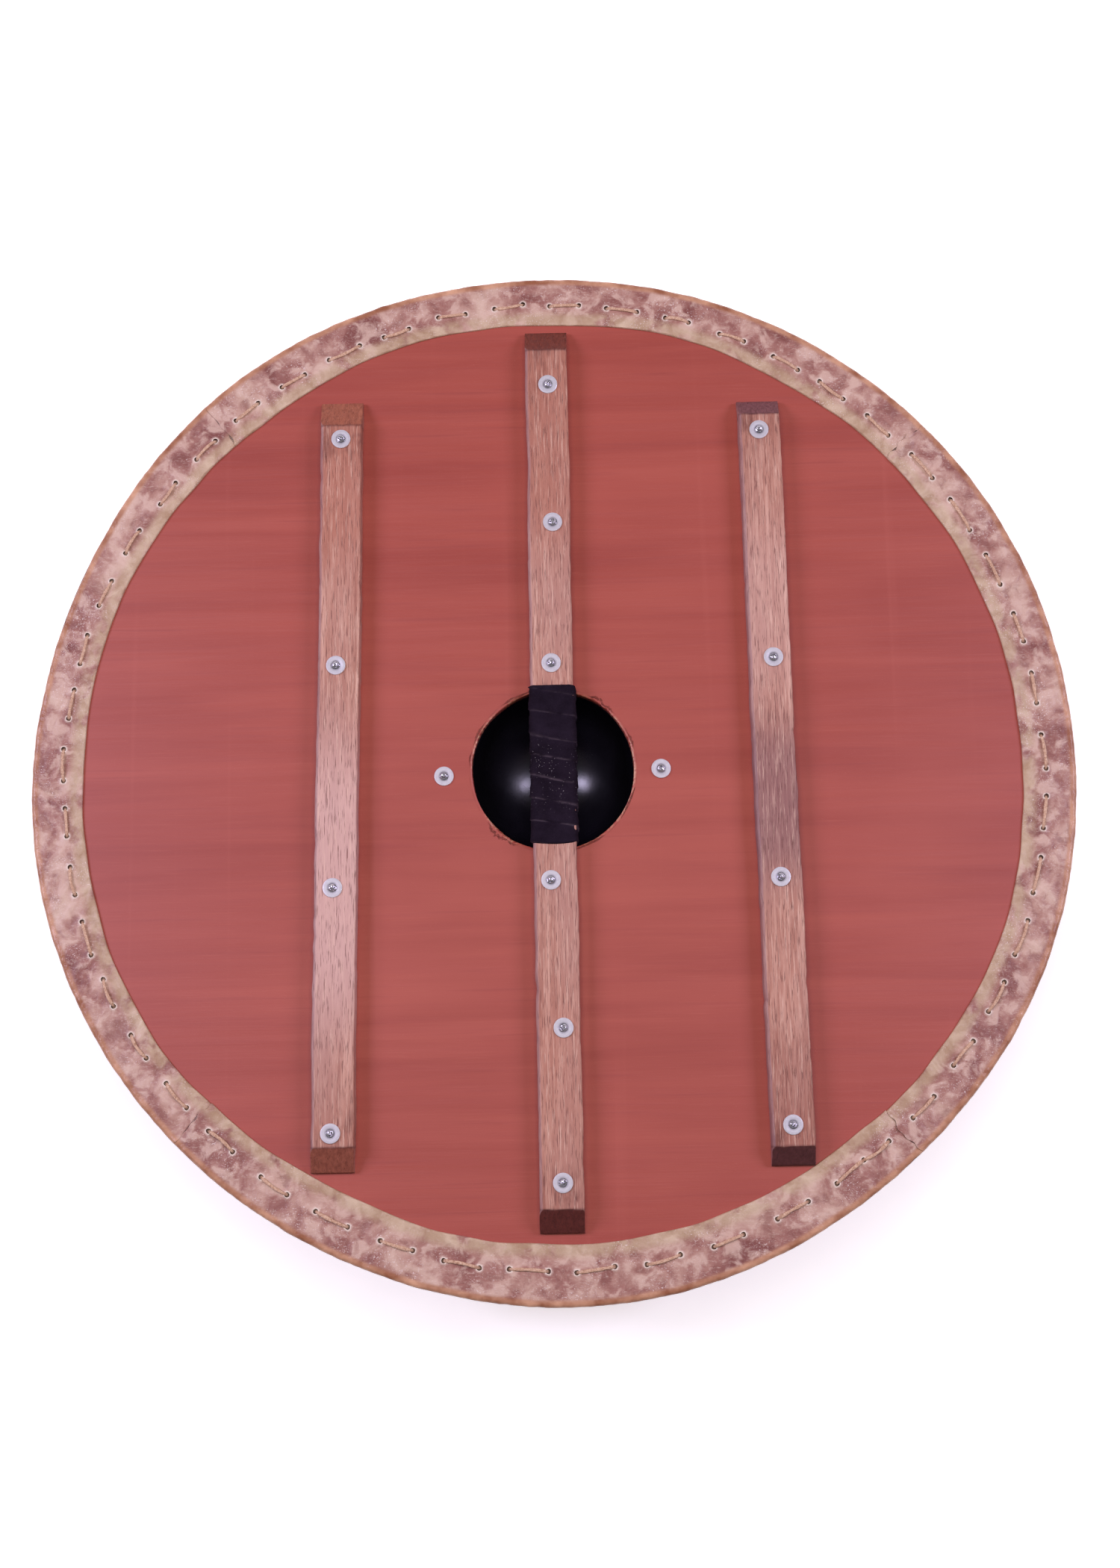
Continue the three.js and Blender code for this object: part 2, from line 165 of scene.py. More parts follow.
def add_mesh(name, points, faces, material, masks=None, smooth=True):
    """A mesh object made in the shield's frame and laid down as the frame lies."""
    mesh = bpy.data.meshes.new(name)
    mesh.from_pydata(np.asarray(points, float).tolist(), [], [list(map(int, f)) for f in faces])
    mesh.validate()
    if smooth:
        mesh.polygons.foreach_set("use_smooth", [True] * len(mesh.polygons))
    for mask, values in (masks or {}).items():
        layer = mesh.attributes.new(mask, "FLOAT", "POINT")
        layer.data.foreach_set("value", np.asarray(values, np.float32))
    mesh.materials.append(material)
    mesh.transform(TO_WORLD)
    obj = bpy.data.objects.new(name, mesh)
    bpy.context.scene.collection.objects.link(obj)
    return obj


def dress(obj, slot, *nodes):
    """Rides the piece on the frame's one body and hides the imported parts it replaces; slot is not used."""
    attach(obj, "root")
    if nodes:
        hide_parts(*nodes)


def grid_faces(rows, columns, close_rows=False, close_columns=False, start=0):
    """Quads over a grid of points stored row after row."""
    r = np.arange(rows if close_rows else rows - 1)
    c = np.arange(columns if close_columns else columns - 1)
    r, c = np.meshgrid(r, c, indexing="ij")
    r2, c2 = (r + 1) % rows, (c + 1) % columns
    quads = np.stack([r * columns + c, r * columns + c2, r2 * columns + c2, r2 * columns + c], -1)
    return quads.reshape(-1, 4) + start


def turned(profile, sides):
    """Points and faces of a turned form: [radius, z] pairs; ends on the axis become poles."""
    angles = np.linspace(0, 2 * np.pi, sides, endpoint=False)
    points, faces, previous = [], [], None
    for radius, z in profile:
        if radius < 1e-9:
            ring = [len(points)] * sides
            points.append((0, 0, z))
        else:
            ring = list(range(len(points), len(points) + sides))
            points += [(radius * math.cos(a), radius * math.sin(a), z) for a in angles]
        if previous:
            for i in range(sides):
                j = (i + 1) % sides
                face = [previous[i], previous[j], ring[j], ring[i]]
                face = [v for k, v in enumerate(face) if v not in face[:k]]
                if len(face) > 2:
                    faces.append(face)
        previous = ring
    return np.array(points), faces


def rounded(points, radius, steps=4):
    """A closed outline with every corner rounded."""
    result = []
    count = len(points)
    for i in range(count):
        here = np.array(points[i], float)
        before = np.array(points[i - 1], float) - here
        after = np.array(points[(i + 1) % count], float) - here
        reach = min(radius, 0.49 * np.linalg.norm(before), 0.49 * np.linalg.norm(after))
        a = here + before / np.linalg.norm(before) * reach
        b = here + after / np.linalg.norm(after) * reach
        for k in range(steps + 1):
            t = k / steps
            result.append((1 - t) ** 2 * a + 2 * t * (1 - t) * here + t * t * b)
    return np.array(result)


# ------------------------------------------------------------------ material helpers


def srgb(r, g, b):
    """Display values 0 to 255 as a linear colour."""
    return tuple(c / 255 / 12.92 if c <= 10.31 else ((c / 255 + 0.055) / 1.055) ** 2.4 for c in (r, g, b)) + (1,)


class Shader:
    """A node material built by short calls. Coordinates are the shield's own, in metres."""

    def __init__(self, name):
        self.material = bpy.data.materials.new(name)
        self.material.use_nodes = True
        self.tree = self.material.node_tree
        self.surface = self.tree.nodes["Principled BSDF"]
        # The meshes lie as the frame lies, so their coordinates are turned back to the shield's own.
        back = self.node("ShaderNodeMapping", vector_type="TEXTURE")
        back.inputs["Location"].default_value = TO_WORLD.to_translation()
        back.inputs["Rotation"].default_value = TO_WORLD.to_euler()
        self.tree.links.new(self.node("ShaderNodeTexCoord").outputs["Object"], back.inputs["Vector"])
        self.place = back.outputs[0]

    def node(self, kind, **settings):
        node = self.tree.nodes.new(kind)
        for key, value in settings.items():
            setattr(node, key, value)
        return node

    def feed(self, socket, value):
        if isinstance(value, bpy.types.NodeSocket):
            self.tree.links.new(value, socket)
        else:
            socket.default_value = value

    def math(self, operation, a, b=0.0, clamp=False):
        node = self.node("ShaderNodeMath", operation=operation, use_clamp=clamp)
        self.feed(node.inputs[0], a)
        self.feed(node.inputs[1], b)
        return node.outputs[0]

    def scaled(self, scale, offset=(0, 0, 0)):
        node = self.node("ShaderNodeMapping")
        self.feed(node.inputs["Vector"], self.place)
        node.inputs["Scale"].default_value = scale
        node.inputs["Location"].default_value = offset
        return node.outputs[0]

    def noise(self, scale, detail=3.0, roughness=0.55, distortion=0.0, offset=(0, 0, 0)):
        """Noise whose cells are 1/scale metres along each axis."""
        if not isinstance(scale, tuple):
            scale = (scale, scale, scale)
        node = self.node("ShaderNodeTexNoise")
        self.feed(node.inputs["Vector"], self.scaled(scale, offset))
        node.inputs["Scale"].default_value = 1.0
        node.inputs["Detail"].default_value = detail
        node.inputs["Roughness"].default_value = roughness
        node.inputs["Distortion"].default_value = distortion
        return node.outputs["Fac"]

    def mask(self, name):
        node = self.node("ShaderNodeAttribute", attribute_name=name)
        return node.outputs["Fac"]

    def band(self, value, low, high):
        """0 below low, 1 above high, smooth between. Swapped limits turn it over."""
        node = self.node("ShaderNodeMapRange", interpolation_type="SMOOTHSTEP")
        self.feed(node.inputs["Value"], value)
        turned_over = low > high
        node.inputs["From Min"].default_value = min(low, high)
        node.inputs["From Max"].default_value = max(low, high)
        node.inputs["To Min"].default_value = 1.0 if turned_over else 0.0
        node.inputs["To Max"].default_value = 0.0 if turned_over else 1.0
        return node.outputs[0]

    def axis(self, name):
        node = self.node("ShaderNodeSeparateXYZ")
        self.feed(node.inputs[0], self.place)
        return node.outputs[name]

    def from_axis(self):
        """Distance from the shield's axis."""
        x, y = self.axis("X"), self.axis("Y")
        return self.math("SQRT", self.math("ADD", self.math("MULTIPLY", x, x), self.math("MULTIPLY", y, y)))

    def mix(self, factor, a, b, blend="MIX"):
        node = self.node("ShaderNodeMix", data_type="RGBA", blend_type=blend)
        self.feed(node.inputs[0], factor)
        self.feed(node.inputs[6], a)
        self.feed(node.inputs[7], b)
        return node.outputs[2]

    def ramp(self, value, *stops):
        """A colour ramp from (position, colour) stops."""
        node = self.node("ShaderNodeValToRGB")
        self.feed(node.inputs[0], value)
        elements = node.color_ramp.elements
        while len(elements) < len(stops):
            elements.new(0.5)
        for element, (position, colour) in zip(elements, stops):
            element.position = position
            element.color = colour
        return node.outputs[0]

    def bump(self, height, distance, strength=1.0, under=None):
        node = self.node("ShaderNodeBump")
        self.feed(node.inputs["Height"], height)
        node.inputs["Distance"].default_value = distance
        node.inputs["Strength"].default_value = strength
        if under:
            self.feed(node.inputs["Normal"], under)
        return node.outputs[0]

    def finish(self, color, roughness, normal=None, **others):
        self.feed(self.surface.inputs["Base Color"], color)
        self.feed(self.surface.inputs["Roughness"], roughness)
        if normal:
            self.feed(self.surface.inputs["Normal"], normal)
        for name, value in others.items():
            self.surface.inputs[name.replace("_", " ")].default_value = value
        return self.material


# ------------------------------------------------------------------ materials


def plywood_material():
    s = Shader("stained_plywood")
    fine = s.noise((22, 900, 60), detail=4)
    grain = s.noise((7, 260, 40), detail=4, distortion=0.4)
    bands = s.noise((2.2, 34, 4), detail=3, distortion=0.6)
    clouds = s.noise((5, 7, 5), detail=3)
    uprights = s.noise((70, 1.3, 3), detail=2)
    stain = s.ramp(bands, (0.3, srgb(158, 72, 63)), (0.5, srgb(167, 81, 71)), (0.72, srgb(176, 90, 79)))
    stain = s.mix(s.math("MULTIPLY", s.band(grain, 0.56, 0.78), 0.6), stain, srgb(152, 68, 60))
    stain = s.mix(s.math("MULTIPLY", s.band(fine, 0.55, 0.8), 0.45), stain, srgb(184, 102, 90))
    stain = s.mix(s.math("MULTIPLY", s.band(clouds, 0.45, 0.75), 0.35), stain, srgb(180, 94, 84))
    stain = s.mix(s.math("MULTIPLY", s.band(uprights, 0.6, 0.8), 0.22), stain, srgb(190, 108, 100))
    specks = s.noise(1500, detail=1)
    stain = s.mix(s.math("MULTIPLY", s.band(specks, 0.7, 0.78), 0.5), stain, srgb(205, 140, 130))
    # The raw wood shows at the chipped edge of the hand hole and in patches down its wall.
    raw_grain = s.noise((60, 60, 700), detail=3)
    raw = s.ramp(raw_grain, (0.35, srgb(196, 138, 104)), (0.65, srgb(228, 184, 148)))
    wear_and_highlight = s.math("MULTIPLY", s.band(s.noise(420, detail=4), 0.42, 0.56), s.band(s.noise(24, detail=2), 0.4, 0.6))
    chips = s.math("MULTIPLY", s.mask("bare"), wear_and_highlight)
    stain = s.mix(1.0, stain, (0.93, 0.77, 0.67, 1), "MULTIPLY")
    color = s.mix(chips, stain, raw)
    rough = s.ramp(grain, (0.3, (0.4, 0.4, 0.4, 1)), (0.7, (0.48, 0.48, 0.48, 1)))
    relief = s.math("ADD", s.math("MULTIPLY", fine, 0.5), grain)
    return s.finish(color, rough, s.bump(relief, 0.00018, 0.6), Specular_IOR_Level=1.0)


def batten_material(name, ends, patches):
    """Planed hardwood with long pale fibres; ends are the colours of the top and bottom bevels, patches
    are (y, reach, colour, strength) where the stain lies thicker or has worn thin."""
    s = Shader(name)
    streaks = s.noise((260, 11, 60), detail=6, roughness=0.65, distortion=0.9)
    fibres = s.noise((900, 42, 300), detail=5, roughness=0.65, distortion=0.4)
    pores = s.noise((1500, 70, 600), detail=2)
    clouds = s.noise((22, 6, 20), detail=3)
    wood = s.ramp(streaks, (0.3, srgb(150, 98, 83)), (0.48, srgb(178, 125, 107)), (0.68, srgb(207, 161, 142)))
    wood = s.mix(s.band(clouds, 0.42, 0.7), wood, srgb(176, 128, 114))
    along = s.axis("Y")
    for y, reach, colour, strength in patches:
        near = s.math("MULTIPLY", s.band(along, y - reach, y - reach * 0.3), s.band(along, y + reach, y + reach * 0.3))
        wood = s.mix(s.math("MULTIPLY", near, strength), wood, colour)
    grime = s.math("MULTIPLY", s.band(s.noise((60, 34, 60), detail=4), 0.5, 0.66), s.mask("ends"))
    wood = s.mix(s.math("MULTIPLY", s.mask("ends"), 0.35), wood, srgb(150, 88, 68))
    wood = s.mix(s.math("MULTIPLY", grime, 0.8), wood, srgb(116, 66, 54))
    wood = s.mix(s.math("MULTIPLY", s.band(fibres, 0.5, 0.72), 0.6), wood, srgb(226, 188, 168))
    wood = s.mix(s.math("MULTIPLY", s.band(pores, 0.42, 0.3), 0.75), wood, srgb(120, 72, 62))
    # Painted sheen: the left face and left arris of each batten are tinted a purplish grey.
    wood = s.mix(s.math("MULTIPLY", s.mask("arris"), 0.5), wood, srgb(150, 116, 122))
    end = s.mix(s.band(along, -0.2, 0.2), ends[1], ends[0])
    rings = s.ramp(s.noise((420, 60, 500), detail=3), (0.3, (0.78, 0.72, 0.7, 1)), (0.7, (1.2, 1.25, 1.25, 1)))
    wood = s.mix(s.mask("end"), wood, s.mix(1.0, end, rings, "MULTIPLY"))
    # Darker along the line where each bevel meets the top.
    wood = s.mix(s.math("MULTIPLY", s.mask("bevel_line"), 0.55), wood, srgb(84, 42, 38))
    relief = s.math("SUBTRACT", fibres, s.math("MULTIPLY", s.band(pores, 0.44, 0.3), 1.2))
    return s.finish(wood, 0.6, s.bump(relief, 0.0003, 0.8))


def rawhide_material():
    s = Shader("rawhide")
    big = s.noise(26, detail=4, distortion=0.8)
    mid = s.noise(75, detail=5, distortion=0.5, offset=(3, 1, 0))
    fine = s.noise(420, detail=4)
    mauve = s.ramp(big, (0.34, srgb(132, 82, 76)), (0.46, srgb(164, 118, 108)), (0.58, srgb(192, 156, 142)),
                   (0.7, srgb(212, 186, 168)))
    hide = s.mix(s.math("MULTIPLY", s.band(mid, 0.48, 0.64), 0.7), mauve, srgb(222, 196, 180))
    hide = s.mix(s.math("MULTIPLY", s.band(mid, 0.48, 0.34), 0.6), hide, srgb(136, 88, 80))
    scuffs = s.noise((240, 900, 240), detail=4, distortion=1.5)
    hide = s.mix(s.math("MULTIPLY", s.band(scuffs, 0.56, 0.68), 0.35), hide, srgb(232, 214, 200))
    cream = s.math("MULTIPLY", s.mask("cream"), s.band(s.noise(60, detail=3), 0.3, 0.5))
    hide = s.mix(cream, hide, s.ramp(mid, (0.35, srgb(178, 150, 122)), (0.7, srgb(214, 194, 168))))
    hide = s.mix(s.math("MULTIPLY", s.band(fine, 0.55, 0.7), 0.25), hide, srgb(222, 200, 190))
    dust = s.math("MULTIPLY", s.band(s.noise(900, detail=2), 0.6, 0.68), s.band(s.noise(34, detail=3), 0.48, 0.6))
    hide = s.mix(s.math("MULTIPLY", dust, 0.75), hide, srgb(238, 226, 222))
    hide = s.mix(1.0, hide, (0.93, 0.86, 0.83, 1), "MULTIPLY")
    rim = s.ramp(s.noise(50, detail=3), (0.35, srgb(150, 94, 66)), (0.7, srgb(214, 164, 132)))
    hide = s.mix(s.mask("rim"), hide, rim)
    hide = s.mix(s.mask("punched"), hide, srgb(232, 214, 198))
    # Painted shade: near black down the lace holes and on the inner faces that lie against the board's edge.
    hide = s.mix(s.mask("painted_shade"), hide, srgb(40, 24, 20))
    rough = s.mix(s.mask("rim"), (0.46, 0.46, 0.46, 1), (0.32, 0.32, 0.32, 1))
    relief = s.math("ADD", s.math("MULTIPLY", mid, 1.6), s.math("MULTIPLY", fine, 0.5))
    return s.finish(hide, rough, s.bump(relief, 0.0008, 0.9))


def lace_material():
    s = Shader("lace")
    fibres = s.noise(700, detail=4, distortion=1.0)
    color = s.ramp(fibres, (0.3, srgb(160, 118, 92)), (0.5, srgb(200, 160, 132)), (0.75, srgb(226, 196, 170)))
    # Painted shade where the lace runs down inside a hole.
    color = s.mix(s.mask("painted_shade"), color, srgb(52, 30, 22))
    return s.finish(color, 0.6, s.bump(fibres, 0.0003, 0.7))


def suede_material():
    s = Shader("black_suede")
    nap = s.noise(1400, detail=4)
    clouds = s.noise(60, detail=3)
    color = s.ramp(clouds, (0.35, srgb(22, 14, 24)), (0.7, srgb(33, 24, 36)))
    color = s.mix(s.math("MULTIPLY", s.band(nap, 0.55, 0.7), 0.4), color, srgb(48, 38, 50))
    # Painted highlight along the edge of each turn, broken up by noise.
    wear_and_highlight = s.math("MULTIPLY", s.mask("edge"), s.band(s.noise((90, 200, 90), detail=3), 0.35, 0.62))
    color = s.mix(s.math("MULTIPLY", wear_and_highlight, 0.6), color, srgb(96, 82, 92))
    middle = s.math("MULTIPLY", s.band(s.axis("Y"), 0.03, 0.0), s.band(s.axis("Y"), -0.045, -0.01))
    specks = s.math("MULTIPLY", s.band(s.noise(1100, detail=1, offset=(5, 2, 0)), 0.74, 0.77), middle)
    color = s.mix(specks, color, srgb(205, 196, 200))
    return s.finish(color, 0.92, s.bump(nap, 0.0004, 0.7), Specular_IOR_Level=0.12)


def black_paint_material():
    s = Shader("black_steel")
    peel = s.noise(260, detail=3)
    smudges = s.noise(24, detail=4)
    color = s.ramp(smudges, (0.35, srgb(9, 7, 13)), (0.75, srgb(18, 15, 24)))
    rough = s.ramp(smudges, (0.35, (0.22, 0.22, 0.22, 1)), (0.7, (0.3, 0.3, 0.3, 1)))
    return s.finish(color, rough, s.bump(peel, 0.0002, 0.25), Specular_IOR_Level=0.75)


def zinc_material(name, rough_low, rough_high, shade, metal):
    s = Shader(name)
    spangle = s.noise(420, detail=4)
    tool_marks = s.noise(1500, detail=3)
    color = s.ramp(spangle, (0.3, shade), (0.7, srgb(232, 230, 234)))
    rough = s.ramp(tool_marks, (0.3, (rough_low,) * 3 + (1,)), (0.7, (rough_high,) * 3 + (1,)))
    # Painted shade where the dish mask is set: on each washer round the rivet's end, and in the fold and round the edge
    # of each peened end.
    color = s.mix(s.math("MULTIPLY", s.mask("dish"), 0.75), color, srgb(96, 92, 100))
    return s.finish(color, rough, s.bump(tool_marks, 0.00012, 0.4), Metallic=metal)


# ------------------------------------------------------------------ the lace holes, shared by board, rawhide and lace


def degrees_of(strip, hole):
    """Where a strip's lace hole lies before the hand that punched it is counted."""
    count = 2 * strip["stitches"] + (1 if strip.get("doubled") else 0)
    return strip["start"] + (hole + 0.5) * (strip["end"] - strip["start"]) / count


def punch_holes():
    """All lace holes as (angle in radians, radius), strip by strip, unevenly spaced as by hand."""
    rng = np.random.default_rng(41)
    rows = []
    for strip in STRIPS:
        count = 2 * strip["stitches"] + (1 if strip.get("doubled") else 0)
        holes = []
        for k in range(count):
            slip = 0 if k in (0, count - 1) else rng.normal(0, 0.22)
            angle = math.radians(degrees_of(strip, k) + np.clip(slip, -0.45, 0.45))
            holes.append((angle, LACE_RADIUS + np.clip(rng.normal(0, 0.9), -1.8, 1.8) * MM))
        rows.append(holes)
    return rows


HOLES = punch_holes()


def out_of_round(angle):
    angle = np.asarray(angle, float)
    return sum(a * np.cos(k * (angle - math.radians(peak))) for k, a, peak in OUT_OF_ROUND)


# ------------------------------------------------------------------ board


def hand_hole_chips(angle):
    """How far the top veneer is broken back from the hand hole's edge."""
    angle = np.mod(angle, 2 * np.pi)
    chips = ((228, 7, 2.6), (240, 3, 1.4), (57, 4, 1.9), (47, 2.5, 1.0), (152, 5, 0.8), (171, 3, 0.7), (20, 4, 0.7),
             (301, 3, 0.5), (120, 3, 0.6))
    total = np.zeros(np.shape(angle))
    for peak, width, depth in chips:
        off = (angle - math.radians(peak) + np.pi) % (2 * np.pi) - np.pi
        total += depth * MM * np.exp(-((off / math.radians(width)) ** 4))
    return total


def make_board(material):
    outer = np.linspace(0, 2 * np.pi, 240, endpoint=False)
    loop = np.linspace(0, 2 * np.pi, 600, endpoint=False)
    ragged = Wobble(5, 40, 190, 0.2)(loop) * 0.09 * MM + Wobble(6, 3, 12)(loop) * 0.22 * MM
    chips = hand_hole_chips(loop) * (1 + 0.25 * Wobble(7, 60, 200, 0.1)(loop))
    # The wall of the hand hole, from the flat of the back face down to the flat of the front face.
    wall = [(2.2 * MM + chips * 1.25, 0), (0.55 * MM + chips, 0), (0.18 * MM + chips * 0.85, -0.22 * MM),
            (ragged * 0.5 + chips * 0.5, -0.8 * MM), (ragged * 0.5 + chips * 0.12, -1.6 * MM),
            (ragged, -3 * MM), (ragged, -6 * MM), (0.1 * MM + ragged, -8.6 * MM),
            (0.5 * MM + ragged, -BOARD_THICKNESS), (2.0 * MM + ragged, -BOARD_THICKNESS)]
    bare = [0, 0.55, 1, 1, 0.75, 0.35, 0.25, 0.3, 0.5, 0]
    ring = lambda radius, angles: np.stack([radius * np.cos(angles), radius * np.sin(angles)], -1)
    points, masks, faces = [], [], []
    hole_rings = []
    for (offset, z), mask in zip(wall, bare):
        flat = ring(HAND_HOLE_RADIUS + offset, loop)
        start = len(points)
        points += [(x, y, z) for x, y in flat]
        masks += [mask] * len(flat)
        hole_rings.append(range(start, start + len(flat)))
    for above, below in zip(hole_rings, hole_rings[1:]):
        for i in range(len(loop)):
            j = (i + 1) % len(loop)
            faces.append([above[i], below[i], below[j], above[j]])
    small = np.linspace(0, 2 * np.pi, 12, endpoint=False)
    centres = [(r * math.cos(a), r * math.sin(a)) for holes in HOLES for a, r in holes]

    def cap(z, hole_ring, facing_up):
        flat = [Vector(p) for p in ring(BOARD_RADIUS, outer)]
        edges = [(i, (i + 1) % len(outer)) for i in range(len(outer))]
        start = len(flat)
        flat += [Vector(points[i][:2]) for i in hole_ring]
        edges += [(start + i, start + (i + 1) % len(loop)) for i in range(len(loop))]
        for cx, cy in centres:
            start = len(flat)
            flat += [Vector((cx + PUNCHED_RADIUS * math.cos(a), cy + PUNCHED_RADIUS * math.sin(a))) for a in small]
            edges += [(start + i, start + (i + 1) % 12) for i in range(12)]
        made, _, triangles, _, _, _ = delaunay_2d_cdt(flat, edges, [], 1, 1e-7)
        start = len(points)
        points.extend((p.x, p.y, z) for p in made)
        masks.extend([0] * len(made))
        spots = np.array(centres)
        for triangle in triangles:
            middle = np.mean([made[i][:] for i in triangle], 0)
            if np.hypot(*middle) < HAND_HOLE_RADIUS + 1 * MM and np.hypot(*middle) < min(
                    np.hypot(*made[i]) for i in triangle):
                continue
            if np.hypot(*(spots - middle).T).min() < PUNCHED_RADIUS * 0.95:
                continue
            face = [start + i for i in triangle]
            a, b, c = (np.array(points[i][:2]) for i in face)
            up = (b - a)[0] * (c - a)[1] - (b - a)[1] * (c - a)[0] > 0
            faces.append(face if up == facing_up else face[::-1])

    cap(0, hole_rings[0], True)
    cap(-BOARD_THICKNESS, hole_rings[-1], False)
    for count, angles, place in [(len(outer), outer, None)] + [(12, small, c) for c in centres]:
        top = len(points)
        for z in (0, -BOARD_THICKNESS):
            for a in angles:
                if place:
                    points.append((place[0] + PUNCHED_RADIUS * math.cos(a),
                                   place[1] + PUNCHED_RADIUS * math.sin(a), z))
                else:
                    points.append((BOARD_RADIUS * math.cos(a), BOARD_RADIUS * math.sin(a), z))
                masks.append(0)
        for i in range(count):
            j = (i + 1) % count
            quad = [top + i, top + count + i, top + count + j, top + j]
            faces.append(quad if place else quad[::-1])
    board = add_mesh("plywood_board", points, faces, material, {"bare": masks}, smooth=True)
    board.data.set_sharp_from_angle(angle=math.radians(50))
    dress(board, "stained_plywood", "board")


# ------------------------------------------------------------------ rawhide strips


def make_strip(index, material):
    """One U-shaped strip: a fine grid round its section and along the rim, with every lace hole punched."""
    strip = STRIPS[index]
    holes = HOLES[index]
    pitch = 20
    columns = pitch * len(holes) + 1
    start, end = math.radians(strip["start"]), math.radians(strip["end"])
    # Columns are set so that every hole is on a column, whatever its angle.
    knots = [0] + [pitch * (k + 0.5) for k in range(len(holes))] + [columns - 1]
    joint_gap = 0.12 * MM / RIM_RADIUS / 2
    angle = np.interp(np.arange(columns), knots, [start + joint_gap] + [a for a, _ in holes] + [end - joint_gap])
    lace = np.interp(np.arange(columns), knots[1:-1], [r for _, r in holes])
    width = end - start
    along = (angle - start) / width
    # The inner edge was cut by hand: a few straight-ish runs and small waves.
    inner = strip["inner"] + 0.8 * MM * Wobble(20 + index, 3, 7)(angle * 2 * np.pi / width / 2.1)
    inner += 0.28 * MM * Wobble(30 + index, 12, 60, 0.6)(angle)
    for near, arc in ((STRIPS[index - 1], angle - start), (STRIPS[(index + 1) % 4], end - angle)):
        meet = (strip["inner"] + near["inner"]) / 2 - inner
        inner = inner + meet * np.exp(-((arc * RIM_RADIUS / (22 * MM)) ** 2)) * 0.8
    outer = RIM_RADIUS + out_of_round(angle) + 0.12 * MM * Wobble(40 + index, 20, 90)(angle)

    top, low = CLEARANCE + RAWHIDE_THICKNESS, -BOARD_THICKNESS - CLEARANCE - RAWHIDE_THICKNESS
    # Rows of the section, as (where between inner, lace and outer, height), from the back's inner edge outwards.
    back_rows = 32
    lace_row = 13
    u = np.concatenate([np.linspace(0, 1, lace_row + 1), 1 + np.linspace(0, 1, back_rows - lace_row)[1:]])
    rim_edge = outer - RIM_ROUNDING

    def between(where):
        """Radius along the strip for 0 at the inner edge, 1 at the lace and 2 where the rim turns."""
        return np.where(where < 1, inner + (lace - inner) * where, lace + (rim_edge - lace) * (where - 1))

    rows = []  # (radius, z) arrays, and a tag of the side
    edge_lift = 0.35 * MM * smoothstep(0.2, 1.6, Wobble(50 + index, 4, 16)(angle))
    rows.append((inner + 0.5 * MM, CLEARANCE * 0.2 + edge_lift, "inner"))
    rows.append((inner - 0.02 * MM, CLEARANCE * 0.2 + 0.15 * MM + edge_lift, "inner"))
    rows.append((inner + 0.05 * MM, top - 0.75 * MM + edge_lift, "inner"))
    rows.append((inner + 0.35 * MM, top - 0.22 * MM + edge_lift, "inner"))
    for where in u:
        lift = edge_lift * (1 - smoothstep(0, 0.5, where))
        radius = between(where) + (0.9 * MM if where == 0 else 0)
        rows.append((radius, top - (0.05 * MM if where == 0 else 0) + lift, "back"))
    turns = np.linspace(0, math.pi / 2, 7)[1:]
    rows += [(rim_edge + RIM_ROUNDING * math.sin(t), top - RIM_ROUNDING * (1 - math.cos(t)), "rim") for t in turns]
    rows += [(outer, z, "rim") for z in np.linspace(top - RIM_ROUNDING, low + RIM_ROUNDING, 5)[1:]]
    rows += [(rim_edge + RIM_ROUNDING * math.cos(t), low + RIM_ROUNDING * (1 - math.sin(t)), "rim") for t in turns]
    front_inner = inner + 1.5 * MM * Wobble(60 + index, 3, 20)(angle)
    front_rows = 24
    front_lace = 11
    for where in np.concatenate([np.linspace(2, 1, front_rows - front_lace)[1:], np.linspace(1, 0, front_lace + 1)[1:]]):
        radius = np.where(where < 1, front_inner + (lace - front_inner) * where, lace + (rim_edge - lace) * (where - 1))
        rows.append((radius, low + 0 * angle, "front"))
    rows.append((front_inner - 0.1 * MM, low + 0.5 * MM, "front"))
    rows.append((front_inner, -BOARD_THICKNESS - CLEARANCE, "inside"))
    for radius, z in ((BOARD_RADIUS + CLEARANCE, -BOARD_THICKNESS - CLEARANCE), (BOARD_RADIUS + CLEARANCE, CLEARANCE)):
        rows.append((radius + 0 * angle, z + 0 * angle, "inside"))
    radius = np.stack([np.broadcast_to(r, angle.shape) for r, _, _ in rows])
    z = np.stack([np.broadcast_to(h, angle.shape) for _, h, _ in rows])
    side = [tag for _, _, tag in rows]
    # The cut at each joint wanders, and both strips follow it.
    grid_angle = np.broadcast_to(angle, radius.shape)
    for joint, arc in ((index, angle - start), ((index + 1) % 4, end - angle)):
        wander = 1.3 * MM * Wobble(130 + joint, 1, 6)((radius - 0.35) / 0.06 * 2 * np.pi)
        grid_angle = grid_angle + wander / RIM_RADIUS * np.exp(-((arc * RIM_RADIUS / (5 * MM)) ** 2))
    x, y = radius * np.cos(grid_angle), radius * np.sin(grid_angle)

    # Hide dries uneven: low swells, finer cockling, and folds that fan out from the joints.
    is_back = np.array([tag == "back" for tag in side])[:, None]
    is_front = np.array([tag == "front" for tag in side])[:, None]
    is_rim = np.array([tag == "rim" for tag in side])[:, None]
    swell = 0.22 * MM * Bumps(70 + index, 0.045)(x, y) + 0.10 * MM * Bumps(80 + index, 0.016)(x, y)
    cockle = 0.045 * MM * Bumps(90 + index, 0.006)(x, y)
    relief = swell + cockle
    arc_from_start = (angle - start) * RIM_RADIUS
    arc_from_end = (end - angle) * RIM_RADIUS
    for arc, seed in ((arc_from_start, 0), (arc_from_end, 1)):
        fan = np.exp(-((arc / (26 * MM)) ** 2))
        folds = np.sin((arc + (radius - 0.37) * 0.35) / (4.4 * MM) + 2 * Bumps(100 + index + 9 * seed, 0.05)(x, y))
        relief = relief + 0.34 * MM * fan * folds * smoothstep(0.36, 0.392, radius)
